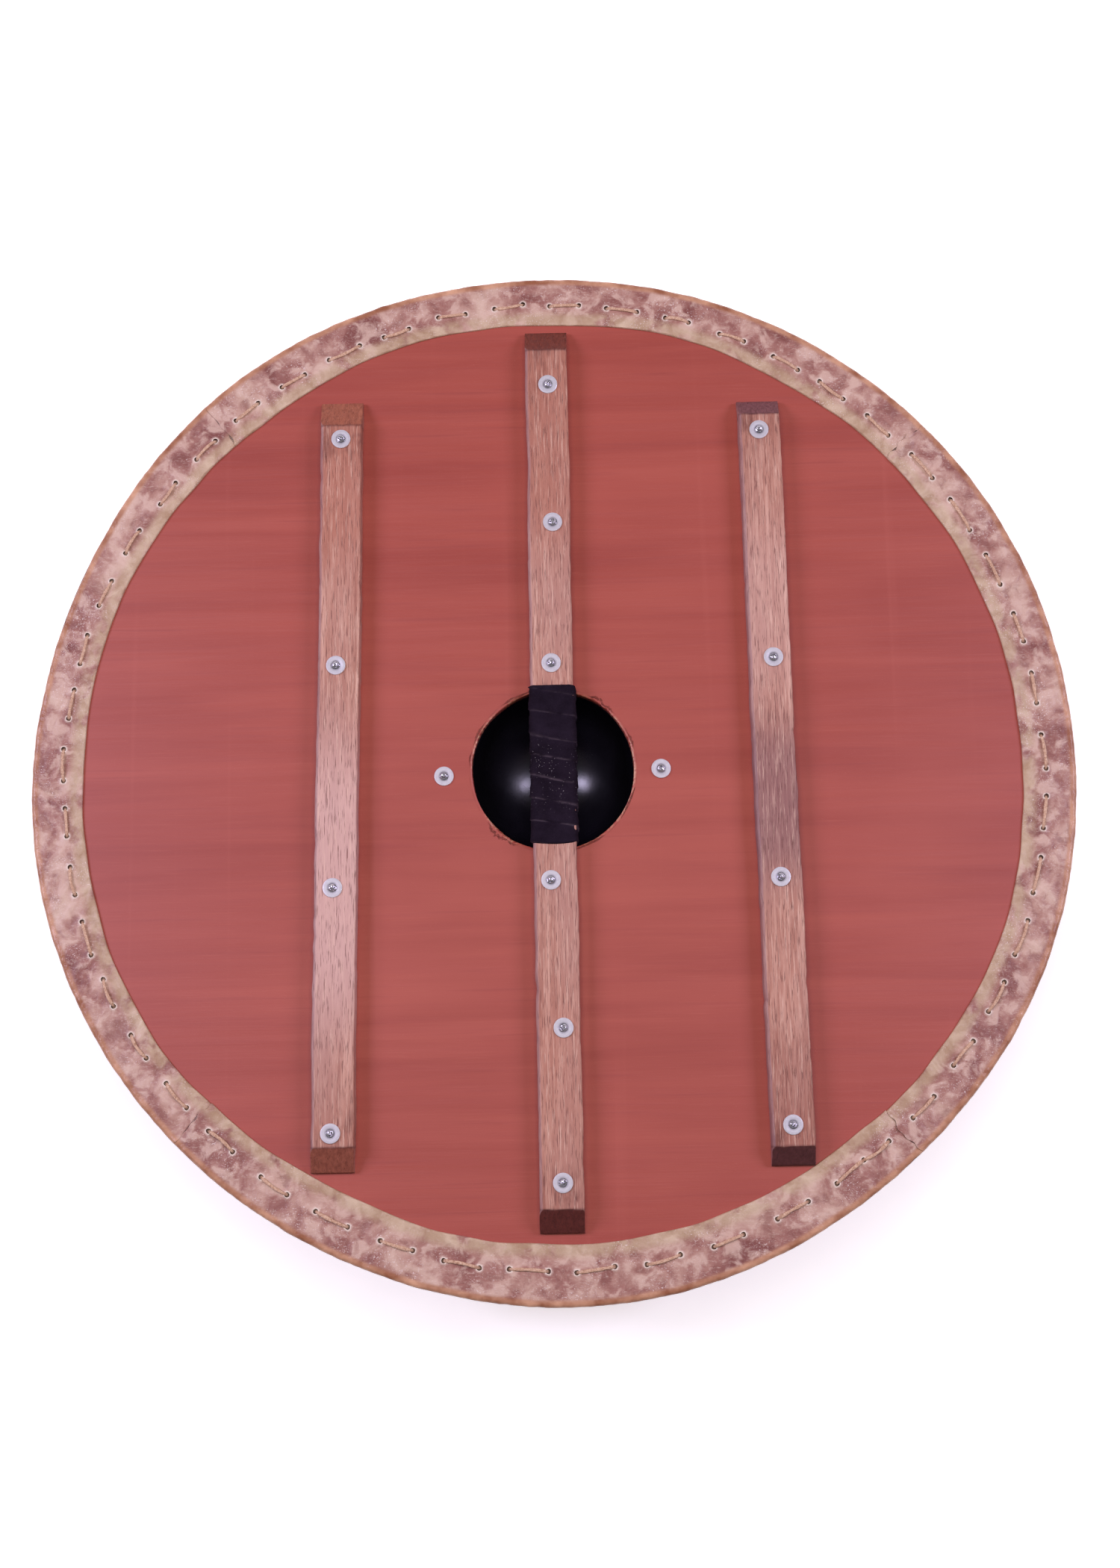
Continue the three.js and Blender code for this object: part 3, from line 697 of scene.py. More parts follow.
    # The end that lies on top stands proud of the one it covers.
    for lies_on_top, arc in ((strip.get("laps_start"), arc_from_start), (strip.get("laps_end"), arc_from_end)):
        step = np.exp(-((arc / (11 * MM)) ** 2))
        relief = relief + (0.55 if lies_on_top else -0.15) * MM * step
    z = z + np.where(is_back, relief, 0) - np.where(is_front, np.abs(relief) * 0.4, 0)
    grow = 0.10 * MM * Bumps(110 + index, 0.03)(x, y) + 0.12 * MM * Bumps(115 + index, 0.009)(x, y)
    first_rim = side.index("rim")
    fade = np.clip((first_rim + 6 - np.arange(len(rows))) / 6, 0, 1)[:, None]
    z = z + np.where(is_rim, relief[first_rim - 1][None, :] * fade * (np.arange(len(rows)) >= first_rim)[:, None], 0)
    radius = radius + np.where(is_rim, grow * 0.6, 0)
    # A punched hole has a raised lip on the back.
    nearest = np.full(radius.shape, 1.0)
    for hole_angle, hole_radius in holes:
        off = np.hypot((grid_angle - hole_angle) * radius, radius - hole_radius)
        nearest = np.minimum(nearest, off)
    lip = 0.42 * MM * np.exp(-(((nearest - 2.4 * MM) / (1.3 * MM)) ** 2))
    z = z + np.where(is_back, lip, 0)
    x, y = radius * np.cos(grid_angle), radius * np.sin(grid_angle)
    points = np.stack([x, y, z], -1).reshape(-1, 3)

    cream = np.where(is_back, 1 - smoothstep(5 * MM, 13 * MM, radius - inner), 0)
    cream = np.where(np.array([tag == "inner" for tag in side])[:, None], 1, cream)
    rim = np.where(is_rim, 1.0, np.where(is_back, smoothstep(-3.5 * MM, -0.5 * MM, radius - rim_edge), 0))
    rim = np.where(is_front, 0.25, rim)
    # Painted shade on the inner faces that lie against the board's edge.
    painted_shade = np.array([1.0 if tag == "inside" else 0.0 for tag in side])[:, None] + 0 * radius
    punched = np.where(is_back, np.exp(-(((nearest - 2.1 * MM) / (0.9 * MM)) ** 2)) * 0.7, 0)
    masks = {"cream": cream.ravel(), "rim": rim.ravel(), "painted_shade": painted_shade.ravel(), "punched": punched.ravel()}

    count_rows = len(rows)
    quads = grid_faces(count_rows, columns, close_rows=True)
    cut = set()
    extra_points, extra_faces = [], []
    extra_masks = {name: [] for name in masks}
    base = len(points)
    back_lace_row = side.index("back") + lace_row
    front_lace_row = side.index("front") + (front_rows - front_lace) - 2
    for k, (hole_angle, hole_radius) in enumerate(holes):
        column = int(pitch * (k + 0.5))
        for row, facing in ((back_lace_row, 1), (front_lace_row, -1)):
            around = [(row + dr, column + dc) for dr, dc in
                      [(-2, c) for c in range(-2, 2)] + [(r, 2) for r in range(-2, 2)]
                      + [(2, c) for c in range(2, -2, -1)] + [(r, -2) for r in range(2, -2, -1)]]
            for dr in range(-2, 2):
                for dc in range(-2, 2):
                    cut.add((row + dr) * columns + column + dc)
            border = [r * columns + c for r, c in around]
            centre = np.array([hole_radius * math.cos(hole_angle), hole_radius * math.sin(hole_angle), 0])
            height = points[border, 2].mean()
            directions = points[border, :2] - centre[:2]
            turn = np.arctan2(directions[:, 1], directions[:, 0])
            previous = border
            # Rings from the lip down the hole's wall: radius, depth, painted shade that deepens down the hole, and the
            # pale lip.
            rings = [(2.35 * MM, 0.16 * MM, 0, 1), (2.0 * MM, 0.12 * MM, 0.1, 0.9), (1.8 * MM, -0.12 * MM, 0.6, 0.2),
                     (1.68 * MM, -0.6 * MM, 1, 0), (1.6 * MM, -1.9 * MM, 1, 0)]
            for ring_radius, ring_z, ring_shade, ring_lip in rings:
                ids = range(base + len(extra_points), base + len(extra_points) + 16)
                ragged = 1 + 0.05 * np.sin(3 * turn + k) + 0.03 * np.sin(7 * turn + 2 * k)
                for a, r in zip(turn, ring_radius * ragged):
                    extra_points.append((centre[0] + r * math.cos(a), centre[1] + r * math.sin(a),
                                         height + facing * ring_z))
                    extra_masks["cream"].append(0)
                    extra_masks["rim"].append(0)
                    extra_masks["painted_shade"].append(ring_shade)
                    extra_masks["punched"].append(ring_lip)
                for i in range(16):
                    j = (i + 1) % 16
                    extra_faces.append([previous[i], previous[j], ids[j], ids[i]])
                previous = ids
    keep = np.array([q[0] not in cut for q in quads])
    faces = quads[keep].tolist() + extra_faces
    # The two ends are closed across the section.
    faces.append([r * columns for r in range(count_rows)])
    faces.append([r * columns + columns - 1 for r in range(count_rows)][::-1])
    points = np.concatenate([points, np.array(extra_points)])
    masks = {name: np.concatenate([values, extra_masks[name]]) for name, values in masks.items()}
    points, faces, masks = drop_loose(points, faces, masks)
    obj = add_mesh("rawhide_" + strip["name"], points, faces, material, masks)
    outward_normals(obj)
    obj.data.set_sharp_from_angle(angle=math.radians(62))
    dress(obj, "rawhide", "edge_strip_" + strip["name"])


def drop_loose(points, faces, masks):
    used = np.zeros(len(points), bool)
    for face in faces:
        used[list(face)] = True
    place = np.cumsum(used) - 1
    faces = [[int(place[i]) for i in face] for face in faces]
    return points[used], faces, {name: np.asarray(values)[used] for name, values in masks.items()}


def outward_normals(obj):
    import bmesh
    work = bmesh.new()
    work.from_mesh(obj.data)
    bmesh.ops.recalc_face_normals(work, faces=work.faces)
    work.to_mesh(obj.data)
    work.free()


# ------------------------------------------------------------------ lace


def make_lace(material):
    """One closed tube up and down through every hole, with the spare stitch at the bottom joint."""
    rng = np.random.default_rng(8)
    over = CLEARANCE + RAWHIDE_THICKNESS + LACE_HEIGHT * 0.62
    under = -BOARD_THICKNESS - CLEARANCE - RAWHIDE_THICKNESS - LACE_HEIGHT * 0.55
    stops, painted_shade = [], []

    def at(place, z):
        stops.append((place[1] * math.cos(place[0]), place[1] * math.sin(place[0]), z))

    def run(a, b, z, arch, bow):
        """A run over the surface from hole a to hole b."""
        for t in (0.075, 0.14, 0.3, 0.5, 0.7, 0.86, 0.925):
            bend = math.sin(math.pi * t)
            low = 0.85 if t in (0.075, 0.925) else 0.0
            at((a[0] + (b[0] - a[0]) * t, a[1] + (b[1] - a[1]) * t + bow * bend), z + arch * bend - math.copysign(low, z) * MM)

    flat = []
    for strip, holes in zip(STRIPS, HOLES):
        pairs = len(holes) // 2
        for j in range(pairs):
            flat.append((holes[2 * j], holes[2 * j + 1], None))
        if strip.get("doubled"):
            flat[-1] = (flat[-1][0], flat[-1][1], holes[-1])
    for start_hole, end_hole, spare in flat:
        for z in (-7 * MM, -2.5 * MM, 0.6 * MM):
            at(start_hole, z)
        run(start_hole, end_hole, over, rng.uniform(0.2, 0.9) * MM, rng.normal(0, 0.7) * MM)
        for z in (0.6 * MM, -2.5 * MM, -7 * MM):
            at(end_hole, z)
        if spare:
            run(end_hole, spare, under, 0, 0)
            for z in (-7 * MM, -2.5 * MM, 0.6 * MM):
                at(spare, z)
            run(spare, end_hole, over + 0.2 * MM, 0.5 * MM, 1.4 * MM)
            for z in (0.6 * MM, -2.5 * MM, -7 * MM):
                at(end_hole, z)
        following = flat[(flat.index((start_hole, end_hole, spare)) + 1) % len(flat)][0]
        ahead = (following[0] + (2 * math.pi if following[0] < end_hole[0] - math.pi else 0), following[1])
        run(end_hole, ahead, under, 0, rng.normal(0, 0.5) * MM)
    stops = np.array(stops)
    # A smooth curve through the stops, then even steps along it.
    count = len(stops)
    fine = []
    for i in range(count):
        p0, p1, p2, p3 = stops[i - 1], stops[i], stops[(i + 1) % count], stops[(i + 2) % count]
        for t in (0, 1 / 3, 2 / 3):
            fine.append(0.5 * (2 * p1 + (p2 - p0) * t + (2 * p0 - 5 * p1 + 4 * p2 - p3) * t * t
                               + (3 * p1 - p0 - 3 * p2 + p3) * t**3))
    fine = np.array(fine)
    length = np.concatenate([[0], np.cumsum(np.linalg.norm(np.diff(np.vstack([fine, fine[:1]]), axis=0), axis=1))])
    steps = int(length[-1] / (1.15 * MM))
    even = np.linspace(0, length[-1], steps, endpoint=False)
    closed = np.vstack([fine, fine[:1]])
    path = np.stack([np.interp(even, length, closed[:, c]) for c in range(3)], -1)
    tangent = np.roll(path, -1, 0) - np.roll(path, 1, 0)
    tangent /= np.linalg.norm(tangent, axis=1)[:, None]
    # The lace is a flat strip: its width lies across the rim, in the radial direction.
    outwards = path * (1, 1, 0)
    outwards /= np.linalg.norm(outwards, axis=1)[:, None]
    across = outwards - (outwards * tangent).sum(1)[:, None] * tangent
    across /= np.linalg.norm(across, axis=1)[:, None]
    normal = np.cross(tangent, across)
    sides = 12
    phase = even / length[-1] * 2 * np.pi
    swell = 1 + 0.08 * Wobble(9, 60, 400, 0.1)(phase)
    twist = 0.25 * Wobble(10, 40, 160, 0.1)(phase)
    in_hole = smoothstep(0.4 * MM, -1.2 * MM, path[:, 2]) * smoothstep(-11.4 * MM, -9.6 * MM, path[:, 2])
    points = []
    for k in range(sides):
        a = 2 * np.pi * k / sides + twist
        # A rounded strip, narrower where it is pulled through a hole.
        w = LACE_WIDTH / 2 * swell * (1 - 0.3 * in_hole) * np.sign(np.cos(a)) * np.abs(np.cos(a)) ** 0.8
        h = LACE_HEIGHT / 2 * swell * np.sign(np.sin(a)) * np.abs(np.sin(a)) ** 0.8
        points.append(path + across * w[:, None] + normal * h[:, None])
    points = np.stack(points, 1).reshape(-1, 3)
    faces = grid_faces(steps, sides, close_rows=True, close_columns=True)
    # The painted shade follows the lace down into the holes.
    mask = np.repeat(in_hole, sides)
    obj = add_mesh("rawhide_lace", points, faces, material, {"painted_shade": mask})
    outward_normals(obj)
    dress(obj, "lace", "edge_lace")


# ------------------------------------------------------------------ battens


def make_batten(index, material):
    """A planed batten with long bevelled ends, its arrises worn by hand."""
    b = BATTENS[index]
    half = b["width"] / 2 * MM
    top, bottom = b["top"] * MM, b["bottom"] * MM
    ground, crown = CLEARANCE * 0.15, CLEARANCE + BATTEN_HEIGHT
    lip = CLEARANCE + BATTEN_END_LIP
    bevels = [length * MM for length in b["bevels"]]
    fine = [top - 0.02 * MM, top - 0.4 * MM, top - 1.0 * MM]
    stations = set(np.round(fine + list(np.arange(top - 1.5 * MM, top - bevels[0] - 4 * MM, -0.8 * MM)), 6))
    stations |= set(np.round(np.arange(top - bevels[0] - 4 * MM, bottom + bevels[1] + 4 * MM, -3 * MM), 6))
    stations |= set(np.round(list(np.arange(bottom + bevels[1] + 4 * MM, bottom + 1.5 * MM, -0.8 * MM))
                             + [bottom + 1.0 * MM, bottom + 0.4 * MM, bottom + 0.02 * MM], 6))
    for arris in (top - bevels[0], bottom + bevels[1]):
        stations |= set(np.round([arris - 0.25 * MM, arris + 0.25 * MM], 6))
    stations = np.array(sorted(stations))
    # The section: the left arris broadly rounded, the right one barely.
    left, right = 3.4 * MM, 1.3 * MM
    section = [(-half, ground), (-half, ground + 2 * MM), (-half, crown - left - 3 * MM)]
    section += [(-half + left * (1 - math.cos(t)), crown - left * (1 - math.sin(t)) * 0.8)
                for t in np.linspace(0, math.pi / 2, 7)]
    section += [(x, crown) for x in np.linspace(-half + left, half - right, 12)[1:-1]]
    section += [(half - right * (1 - math.cos(t)), crown - right * (1 - math.sin(t)))
                for t in np.linspace(math.pi / 2, 0, 5)]
    section += [(half, crown - right - 3 * MM), (half, ground + 2 * MM), (half, ground)]
    section = np.array(section)
    count = len(section)
    s, v = np.meshgrid(np.arange(count), stations, indexing="xy")
    u, z = section[s, 0], section[s, 1]
    rng = np.random.default_rng(200 + index)
    length = top - bottom
    drift = Wobble(210 + index, 1, 6)(v * 2 * np.pi / length)
    left_edge = Wobble(220 + index, 4, 40)(v * 2 * np.pi / length)
    right_edge = Wobble(230 + index, 4, 40)(v * 2 * np.pi / length)
    u = u + 0.25 * MM * drift + 0.16 * MM * np.where(u < 0, left_edge, right_edge) * np.abs(u) / half
    # Small dents along the arrises and a few scratches in the face.
    for _ in range(26):
        at_y, edge = rng.uniform(bottom + 0.03, top - 0.03), rng.choice([-1, 1])
        size, depth = rng.uniform(1.5, 5) * MM, rng.uniform(0.2, 0.7) * MM
        close = np.exp(-(((v - at_y) / size) ** 2) - ((u - edge * half) / (2.2 * MM)) ** 2)
        z = z - depth * close * (section[s, 1] > crown - 5 * MM)
        u = u - edge * depth * 0.7 * close
    z = np.where(section[s, 1] > crown - 4 * MM, z + 0.05 * MM * Bumps(240 + index, 0.02, stretch=(1, 4))(u, v), z)
    ceiling_top = lip + (top - v) * (crown - lip) / bevels[0]
    ceiling_bottom = lip + (v - bottom) * (crown - lip) / bevels[1]
    waviness = 0.15 * MM * Bumps(250 + index, 0.012)(u, v)
    ceiling = np.minimum(ceiling_top, ceiling_bottom) + waviness
    end = smoothstep(-0.35 * MM, 0.25 * MM, z - ceiling)
    cut = np.minimum(z, np.maximum(ceiling, ground + 0.5 * MM))
    # The bevel runs down to a lip, rounded at its own edge.
    lip_round = np.minimum(np.abs(top - v), np.abs(v - bottom))
    cut = np.where(z > lip, np.minimum(cut, lip - 1.2 * MM * np.exp(-lip_round / (0.5 * MM)) + lip_round * 2), cut)
    x_middle = np.interp(v, [bottom, top], [b["x_bottom"] * MM, b["x_top"] * MM])
    points = np.stack([x_middle + u, v, cut], -1).reshape(-1, 3)
    faces = grid_faces(len(stations), count, close_columns=True).tolist()
    faces.append(list(range(count)))
    faces.append(list(range((len(stations) - 1) * count, len(stations) * count))[::-1])
    # Mask of the painted purplish sheen on each batten's left face and left arris.
    arris = np.where(section[s, 1] < crown - 0.1 * MM, 1.0, 0.0) * (u < 0)
    from_end = np.minimum(top - bevels[0] - v, v - bottom - bevels[1])
    ends = 1 - smoothstep(4 * MM, 46 * MM, from_end)
    # Darker along the line where each bevel meets the top.
    bevel_line = np.exp(-((from_end / (0.9 * MM)) ** 2))
    masks = {"end": end.ravel(), "arris": arris.ravel(), "ends": ends.ravel(), "bevel_line": bevel_line.ravel()}
    obj = add_mesh("batten_plank_" + b["name"], points, faces, material, masks)
    outward_normals(obj)
    obj.data.set_sharp_from_angle(angle=math.radians(38))
    dress(obj, "batten_wood", "batten_" + b["name"])


# ------------------------------------------------------------------ grip wrap


def make_wrap(material):
    """A suede strip wound round the grip: each turn starts on the one before it."""
    low, high = -58.5 * MM, 63.3 * MM
    half = 16.2 * MM
    bottom, top = -0.2 * MM, 15.1 * MM
    outline = rounded([(-half, bottom), (half, bottom), (half, top), (-half, top)][::-1], 3.2 * MM, 8)
    # Even steps round the outline.
    closed = np.vstack([outline, outline[:1]])
    reach = np.concatenate([[0], np.cumsum(np.linalg.norm(np.diff(closed, axis=0), axis=1))])
    sides = 132
    s = np.linspace(0, reach[-1], sides, endpoint=False)
    ring = np.stack([np.interp(s, reach, closed[:, 0]), np.interp(s, reach, closed[:, 1])], -1)
    tangent = np.roll(ring, -1, 0) - np.roll(ring, 1, 0)
    tangent /= np.linalg.norm(tangent, axis=1)[:, None]
    normal = np.stack([-tangent[:, 1], tangent[:, 0]], -1)
    if (normal * (ring - ring.mean(0))).sum() < 0:
        normal = -normal
    stations = np.linspace(0, 1, 250)
    v, around = np.meshgrid(stations, np.arange(sides), indexing="ij")
    # Turns are 17 mm apart and fall to the right by 6 to 7 mm across the face.
    share = s / reach[-1]
    begin = share[np.argmin(np.abs(ring[:, 0]) + np.abs(ring[:, 1] - top))]
    lead = (share - begin + 0.5) % 1 - 0.5
    direction = 1 if tangent[np.argmin(np.abs(share - begin)), 0] > 0 else -1
    y = low + (high - low) * v
    bulge_end = 1.3 * MM * (1 - (ring[around, 0] / half) ** 2)
    y = y - bulge_end * (1 - v) ** 3
    turn_pitch = 17 * MM
    place = (y - high + 5.5 * MM) / turn_pitch + direction * lead[around] + 0.06 * Wobble(300, 2, 9)(y * 50)
    fraction = np.mod(place, 1)
    # Thick at its lower edge, where it lies on the turn below, and thin where the next one covers it.
    thickness = WRAP_THICKNESS * (0.75 + 0.75 * (1 - fraction)) * smoothstep(0, 0.035, fraction)
    thickness += WRAP_THICKNESS * 0.75 * (1 - smoothstep(0, 0.035, fraction))
    thickness += 0.16 * MM * Bumps(301, 0.009)(ring[around, 0] + ring[around, 1], y)
    thickness += 0.10 * MM * Bumps(302, 0.004)(s[around], y)
    thickness *= smoothstep(0, 0.008, v) * smoothstep(1, 0.992, v) * 0.85 + 0.15
    x = 0.5 * MM + ring[around, 0] + normal[around, 0] * thickness
    z = ring[around, 1] + normal[around, 1] * thickness
    points = np.stack([x, y, z], -1).reshape(-1, 3)
    faces = grid_faces(len(stations), sides, close_columns=True).tolist()
    faces.append(list(range(sides)))
    faces.append(list(range((len(stations) - 1) * sides, len(stations) * sides))[::-1])
    # Mask of the painted highlight along each turn's edge, fainter towards the top of the grip.
    edge = np.exp(-((np.minimum(fraction, 1 - fraction) * turn_pitch / (0.55 * MM)) ** 2))
    edge = edge * np.interp(y, [-0.06, -0.01, 0.063], [1, 0.9, 0.35])
    obj = add_mesh("suede_wrap", points, faces, material, {"edge": edge.ravel()})
    outward_normals(obj)
    dress(obj, "black_suede", "grip_wrap")


# ------------------------------------------------------------------ boss


def make_boss(material):
    """A spun steel bowl under the hand hole, with a flange riveted through the board."""
    t = BOSS_STEEL
    face = -BOARD_THICKNESS - CLEARANCE
    inner, centre = BOSS_INNER_RADIUS, -BOSS_CENTRE_DEPTH
    steps = np.linspace(0, math.pi / 2, 40)
    # Inside surface from the flange's edge to the pole, then outside surface back again.
    inside = [(BOSS_FLANGE_RADIUS - 0.4 * MM, face), (BOSS_FLANGE_RADIUS - 4 * MM, face), (80 * MM, face),
              (inner + 4.2 * MM, face)]
    inside += [(inner + 4 * MM * (1 - math.sin(a)), face - 4 * MM * (1 - math.cos(a)))
               for a in np.linspace(0, math.pi / 2, 8)[1:]]
    inside += [(inner, centre + 3 * MM)] + [(inner * math.cos(a), centre - inner * math.sin(a)) for a in steps]
    outside = [((inner + t) * math.cos(a), centre - (inner + t) * math.sin(a)) for a in steps[::-1]]
    outside += [(inner + t, centre + 3 * MM)]
    outside += [(inner + t + 2.4 * MM * (1 - math.cos(a)), face - t - 2.4 * MM * (1 - math.sin(a)))
                for a in np.linspace(0, math.pi / 2, 7)]
    outside += [(80 * MM, face - t), (BOSS_FLANGE_RADIUS - 3 * MM, face - t), (BOSS_FLANGE_RADIUS - 0.5 * MM, face - t),
                (BOSS_FLANGE_RADIUS, face - t + 0.45 * MM), (BOSS_FLANGE_RADIUS, face - 0.35 * MM)]
    points, faces = turned(inside + outside, 160)
    # The profile closes on itself at the flange's edge.
    ring, last = 160, len(points) - 160
    faces += [[last + i, last + (i + 1) % ring, (i + 1) % ring, i] for i in range(ring)]
    # Hand-raised steel: a little out of true.
    angle = np.arctan2(points[:, 1], points[:, 0])
    deep = smoothstep(-0.02, -0.05, points[:, 2]) * smoothstep(0.002, 0.02, np.hypot(points[:, 0], points[:, 1]))
    points[:, :2] *= (1 + deep * 0.0012 * Wobble(400, 2, 7)(angle))[:, None]
    # It is worn flat where it rests.
    turn, origin = np.array(TO_WORLD.to_3x3()), np.array(TO_WORLD.to_translation())
    world = points @ turn.T + origin
    world[:, 2] = np.maximum(world[:, 2], 0)
    points = (world - origin) @ turn
    obj = add_mesh("steel_boss", points, faces, material)
    outward_normals(obj)
    obj.data.set_sharp_from_angle(angle=math.radians(50))
    dress(obj, "black_steel", "boss")


# ------------------------------------------------------------------ rivets and washers

RIVETS = (
    ("left_1", -160.7, 263.5), ("left_2", -164.9, 82.1), ("left_3", -167.6, -89.6), ("left_4", -169.3, -272.2),
    ("grip_1", 1.7, 304.7), ("grip_2", 3.4, 192.4), ("grip_3", 0.2, 80.5), ("grip_4", -2.9, -87.1),
    ("grip_5", 4.3, -197.9), ("grip_6", 1.7, -311.2), ("right_1", 165.8, 263.7), ("right_2", 170.4, 81.4),
    ("right_3", 169.8, -88.2), ("right_4", 171.9, -272.3), ("boss_left", -83.7, -3.3), ("boss_right", 82.7, -0.8),
)
THROUGH_BOSS = ("grip_3", "grip_4", "boss_left", "boss_right")


def make_fixing(index, washer_material, rivet_material):
    """One rivet and its washer: the shank's end is hammered over on the back."""
    name, x, y = RIVETS[index]
    x, y = x * MM, y * MM
    rng = np.random.default_rng(500 + index)
    seat = 0.02 * MM if name.startswith("boss") else CLEARANCE + BATTEN_HEIGHT + 0.02 * MM
    head_seat = -BOARD_THICKNESS - CLEARANCE - (BOSS_STEEL + CLEARANCE if name in THROUGH_BOSS else 0)

    bevel = 0.5 * MM
    disc = [(SHANK_RADIUS + 0.15 * MM, seat), (WASHER_RADIUS - 0.15 * MM, seat), (WASHER_RADIUS, seat + 0.2 * MM),
            (WASHER_RADIUS, seat + WASHER_THICKNESS - bevel), (WASHER_RADIUS - bevel * 0.45, seat + WASHER_THICKNESS - 0.1 * MM),
            (WASHER_RADIUS - bevel * 1.5, seat + WASHER_THICKNESS), (SHANK_RADIUS + 2.2 * MM, seat + WASHER_THICKNESS - 0.05 * MM), (SHANK_RADIUS + 1.6 * MM, seat + WASHER_THICKNESS - 0.15 * MM),
            (SHANK_RADIUS + 0.5 * MM, seat + WASHER_THICKNESS - 0.2 * MM), (SHANK_RADIUS + 0.15 * MM, seat + WASHER_THICKNESS - 0.4 * MM)]
    points, faces = turned(disc + disc[:1], 56)
    dish = rng.uniform(-0.15, 0.25) * MM
    radius = np.hypot(points[:, 0], points[:, 1])
    points[:, 2] += dish * (radius / WASHER_RADIUS) ** 2 * (points[:, 2] > seat + 0.5 * MM)
    tip = rng.normal(0, 0.012, 2)
    points[:, 2] += points[:, 0] * tip[0] + points[:, 1] * tip[1] + WASHER_RADIUS * np.abs(tip).sum() * 0.7
    points[:, :2] += (x, y)
    # The washer's dish mask is painted shade round the rivet's peened end.
    washer = add_mesh("washer_disc_" + name, points, faces, washer_material, {"dish": 1 - smoothstep(3.1 * MM, 4.6 * MM, radius)})
    merge_close(washer)
    washer.data.set_sharp_from_angle(angle=math.radians(48))
    dress(washer, "zinc_steel", "washer_" + name)

    end = seat + WASHER_THICKNESS
    over = [(0, end + 1.75 * MM), (0.8 * MM, end + 1.74 * MM), (1.5 * MM, end + 1.66 * MM), (2.1 * MM, end + 1.45 * MM),
            (2.7 * MM, end + 1.1 * MM), (3.1 * MM, end + 0.65 * MM), (3.2 * MM, end + 0.25 * MM), (3.05 * MM, end + 0.02 * MM),
            (SHANK_RADIUS, end - 0.1 * MM)]
    head = [(SHANK_RADIUS, head_seat + 0.05 * MM), (5.7 * MM, head_seat), (6 * MM, head_seat - 0.35 * MM)]
    head += [(6 * MM * math.cos(a), head_seat - 0.35 * MM - 2.6 * MM * math.sin(a)) for a in np.linspace(0, math.pi / 2, 8)[1:-1]]
    head += [(0, head_seat - 2.95 * MM)]
    points, faces = turned(over + head, 40)
    # Hammer blows leave flats and a crescent fold on the end.
    top_side = points[:, 2] > end + 0.01 * MM
    angle = np.arctan2(points[:, 1], points[:, 0])
    radius = np.hypot(points[:, 0], points[:, 1])
    blow = rng.uniform(0, 2 * np.pi)
    for k in range(5):
        direction = blow + k * 2.4 + rng.normal(0, 0.3)
        where = points[:, 0] * math.cos(direction) + points[:, 1] * math.sin(direction)
        limit = rng.uniform(1.0, 1.9) * MM
        points[:, 2] -= np.where(top_side, np.clip(where - limit, 0, None) * rng.uniform(0.25, 0.6), 0)
    fold = np.exp(-(((radius - 1.55 * MM) / (0.42 * MM)) ** 2)) * smoothstep(-0.5, 0.6, np.cos(angle - blow - 2.2))
    points[:, 2] -= np.where(top_side, 0.8 * MM * fold, 0)
    lumpy = Bumps(520 + index, 0.0022)(points[:, 0], points[:, 1])
    points[:, 2] += np.where(top_side, 0.09 * MM * lumpy, 0)
    points[:, 2] = np.where(top_side, np.maximum(points[:, 2], end + 0.03 * MM), points[:, 2])
    points[:, :2] *= (1 + np.where(top_side, 0.05 * np.cos(2 * (angle - blow)) + 0.03 * np.cos(3 * angle + index), 0))[:, None]
    points[:, :2] += (x, y)
    # The rivet's dish mask is painted shade in the hammer fold and round the peen's edge.
    rivet = add_mesh("rivet_pin_" + name, points, faces, rivet_material,
                     {"dish": np.where(top_side, np.clip(fold * 1.3 + smoothstep(2.3 * MM, 3.1 * MM, radius) * 0.8, 0, 1), 0)})
    outward_normals(rivet)
    rivet.data.set_sharp_from_angle(angle=math.radians(55))
    dress(rivet, "zinc_steel", "rivet_" + name)


def merge_close(obj):
    import bmesh
    work = bmesh.new()
    work.from_mesh(obj.data)
    bmesh.ops.remove_doubles(work, verts=work.verts, dist=1e-6)
    bmesh.ops.recalc_face_normals(work, faces=work.faces)
    work.to_mesh(obj.data)
    work.free()


# ------------------------------------------------------------------ floor, light and camera


def make_stage():
    s = Shader("studio_floor")
    grain = s.noise(30, detail=2)
    color = s.ramp(grain, (0.3, (0.93, 0.93, 0.93, 1)), (0.7, (0.96, 0.96, 0.96, 1)))
    material = s.finish(color, 0.9, Specular_IOR_Level=0.1, Emission_Color=(1, 1, 1, 1), Emission_Strength=0.5)
    rings = [(0, 0), (1.0, 0), (3.0, 0), (9.0, 0)]
    points, faces = turned(rings, 64)
    mesh = bpy.data.meshes.new("studio_floor")
    mesh.from_pydata(points.tolist(), [], faces)
    mesh.materials.append(material)
    floor = bpy.data.objects.new("studio_floor", mesh)
    bpy.context.scene.collection.objects.link(floor)
    floor.location.z = cad_box_low() - 0.0005


def cad_box_low():
    return float(min(corner[2] for corner in cad_box))


def area_light(name, place, target, size, power, color):
    light = bpy.data.lights.new(name, "AREA")
    light.shape = "RECTANGLE"
    light.size, light.size_y = size
    light.energy = power
    light.color = color
    obj = bpy.data.objects.new(name, light)
    bpy.context.scene.collection.objects.link(obj)
    obj.location = place
    obj.rotation_euler = (Vector(target) - Vector(place)).to_track_quat("-Z", "Y").to_euler()
    return obj


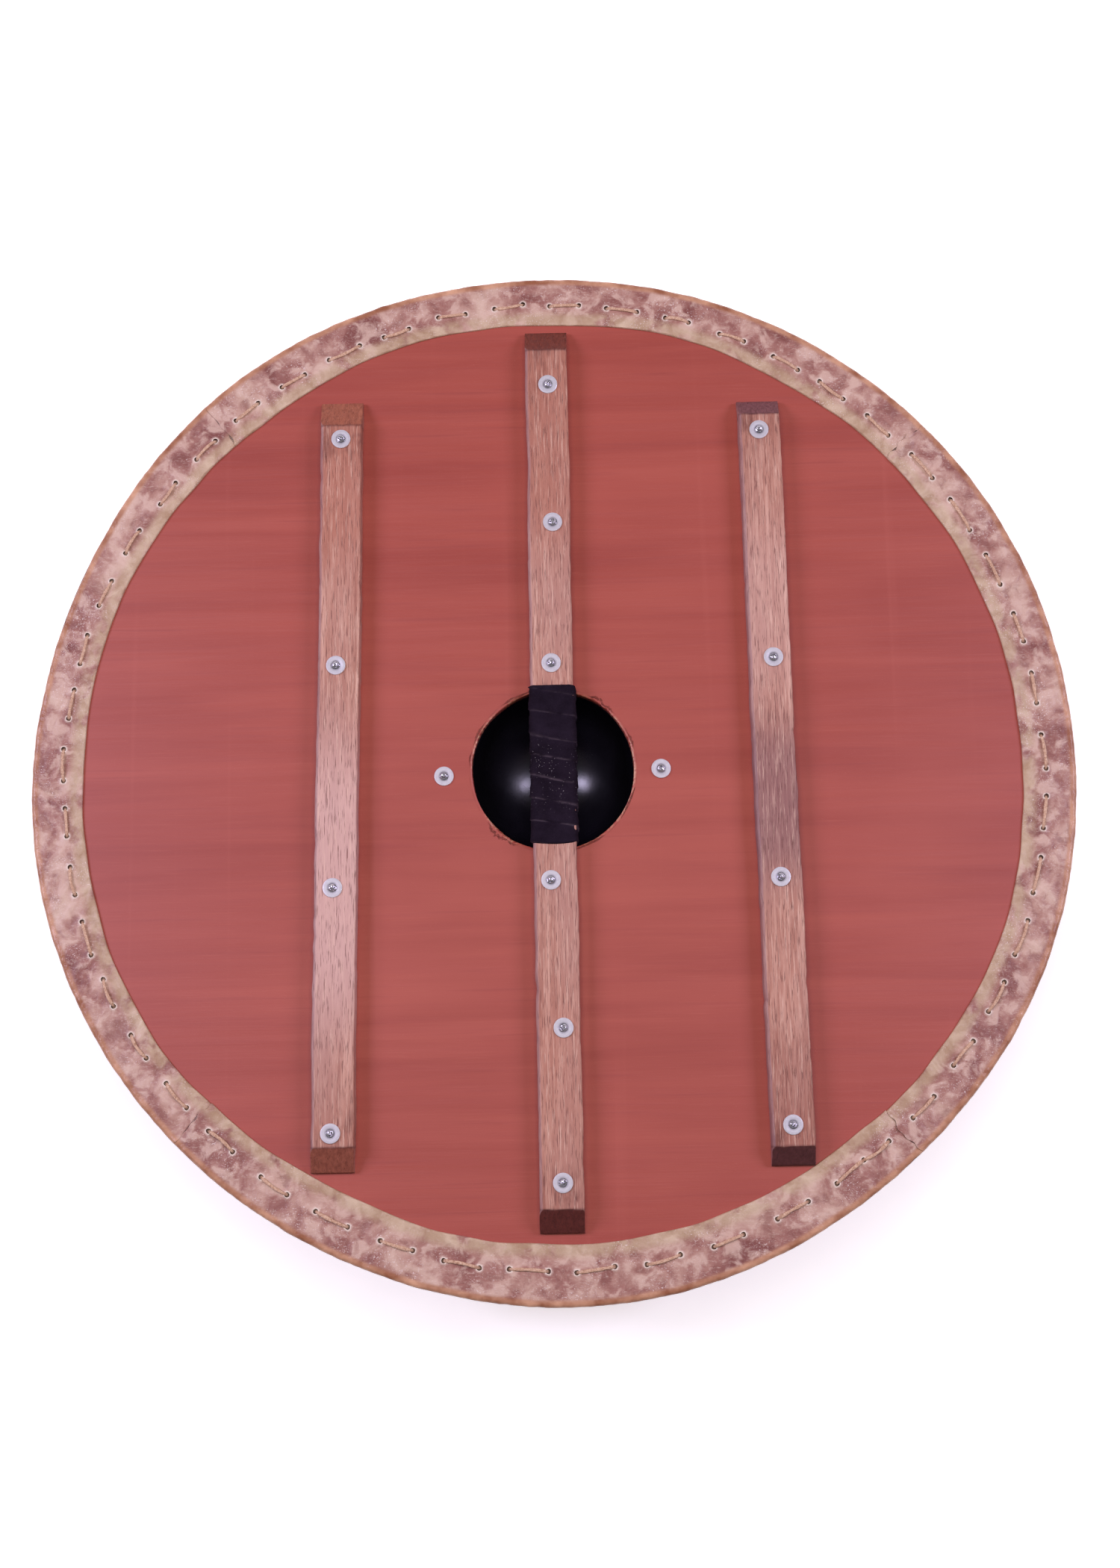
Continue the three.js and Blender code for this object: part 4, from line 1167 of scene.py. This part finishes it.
def make_lights():
    area_light("soft_box_left", (-2.0, 0.66, 1.92), (0, 0.05, 0.05), (0.6, 1.2), 40, (0.78, 0.70, 1.0))
    area_light("soft_box_right", (2.0, 0.66, 1.92), (0, 0.05, 0.05), (0.6, 1.2), 33, (0.78, 0.70, 1.0))
    # The overhead panel only fills: it leaves no highlight of its own in the bowl.
    panel = area_light("overhead_panel", (0, 0.3, 1.5), (0, 0.12, 0), (0.7, 0.7), 10.8, (1.0, 0.94, 0.86))
    panel.visible_camera = False
    panel.visible_glossy = False
    world = bpy.data.worlds.new("studio")
    world.use_nodes = True
    background = world.node_tree.nodes["Background"]
    background.inputs["Color"].default_value = (1.0, 0.985, 0.97, 1)
    background.inputs["Strength"].default_value = 0.14
    bpy.context.scene.world = world


def make_camera():
    data = bpy.data.cameras.new("camera")
    data.sensor_fit = "AUTO"
    data.sensor_width = 36
    data.lens = 48.9
    data.clip_start = 0.01
    camera = bpy.data.objects.new("camera", data)
    camera.location = (0.0186, 0.0033, 1.7156)
    camera.rotation_euler = tuple(math.radians(a) for a in (-0.3825, 0.4672, -1.2114))
    bpy.context.scene.collection.objects.link(camera)
    bpy.context.scene.camera = camera
    bpy.context.scene.view_settings.view_transform = "Standard"


# ------------------------------------------------------------------ how the three battens differ in colour

BATTEN_ENDS = (
    (srgb(152, 86, 64), srgb(137, 75, 58)),
    (srgb(108, 42, 26), srgb(88, 36, 30)),
    (srgb(115, 68, 70), srgb(82, 42, 42)),
)
BATTEN_PATCHES = (
    ((-0.085, 0.16, srgb(216, 178, 170), 0.6), (0.25, 0.14, srgb(172, 106, 84), 0.6)),
    ((0.26, 0.13, srgb(164, 100, 80), 0.6), (-0.24, 0.1, srgb(176, 118, 98), 0.4)),
    ((-0.03, 0.09, srgb(128, 88, 88), 0.7), (0.12, 0.1, srgb(200, 158, 146), 0.4), (-0.26, 0.08, srgb(146, 90, 76), 0.5)),
)

# ------------------------------------------------------------------ the making

make_camera()
make_stage()
make_lights()

make_board(plywood_material())
rawhide = rawhide_material()
for i in range(4):
    make_strip(i, rawhide)
make_lace(lace_material())
for i in range(3):
    make_batten(i, batten_material("batten_wood_" + BATTENS[i]["name"], BATTEN_ENDS[i], BATTEN_PATCHES[i]))
make_wrap(suede_material())
make_boss(black_paint_material())
washer_zinc = zinc_material("washer_zinc", 0.36, 0.48, srgb(222, 216, 222), 0.5)
rivet_zinc = zinc_material("rivet_zinc", 0.18, 0.34, srgb(208, 204, 212), 0.85)
for i in range(len(RIVETS)):
    make_fixing(i, washer_zinc, rivet_zinc)

bpy.context.view_layer.update()
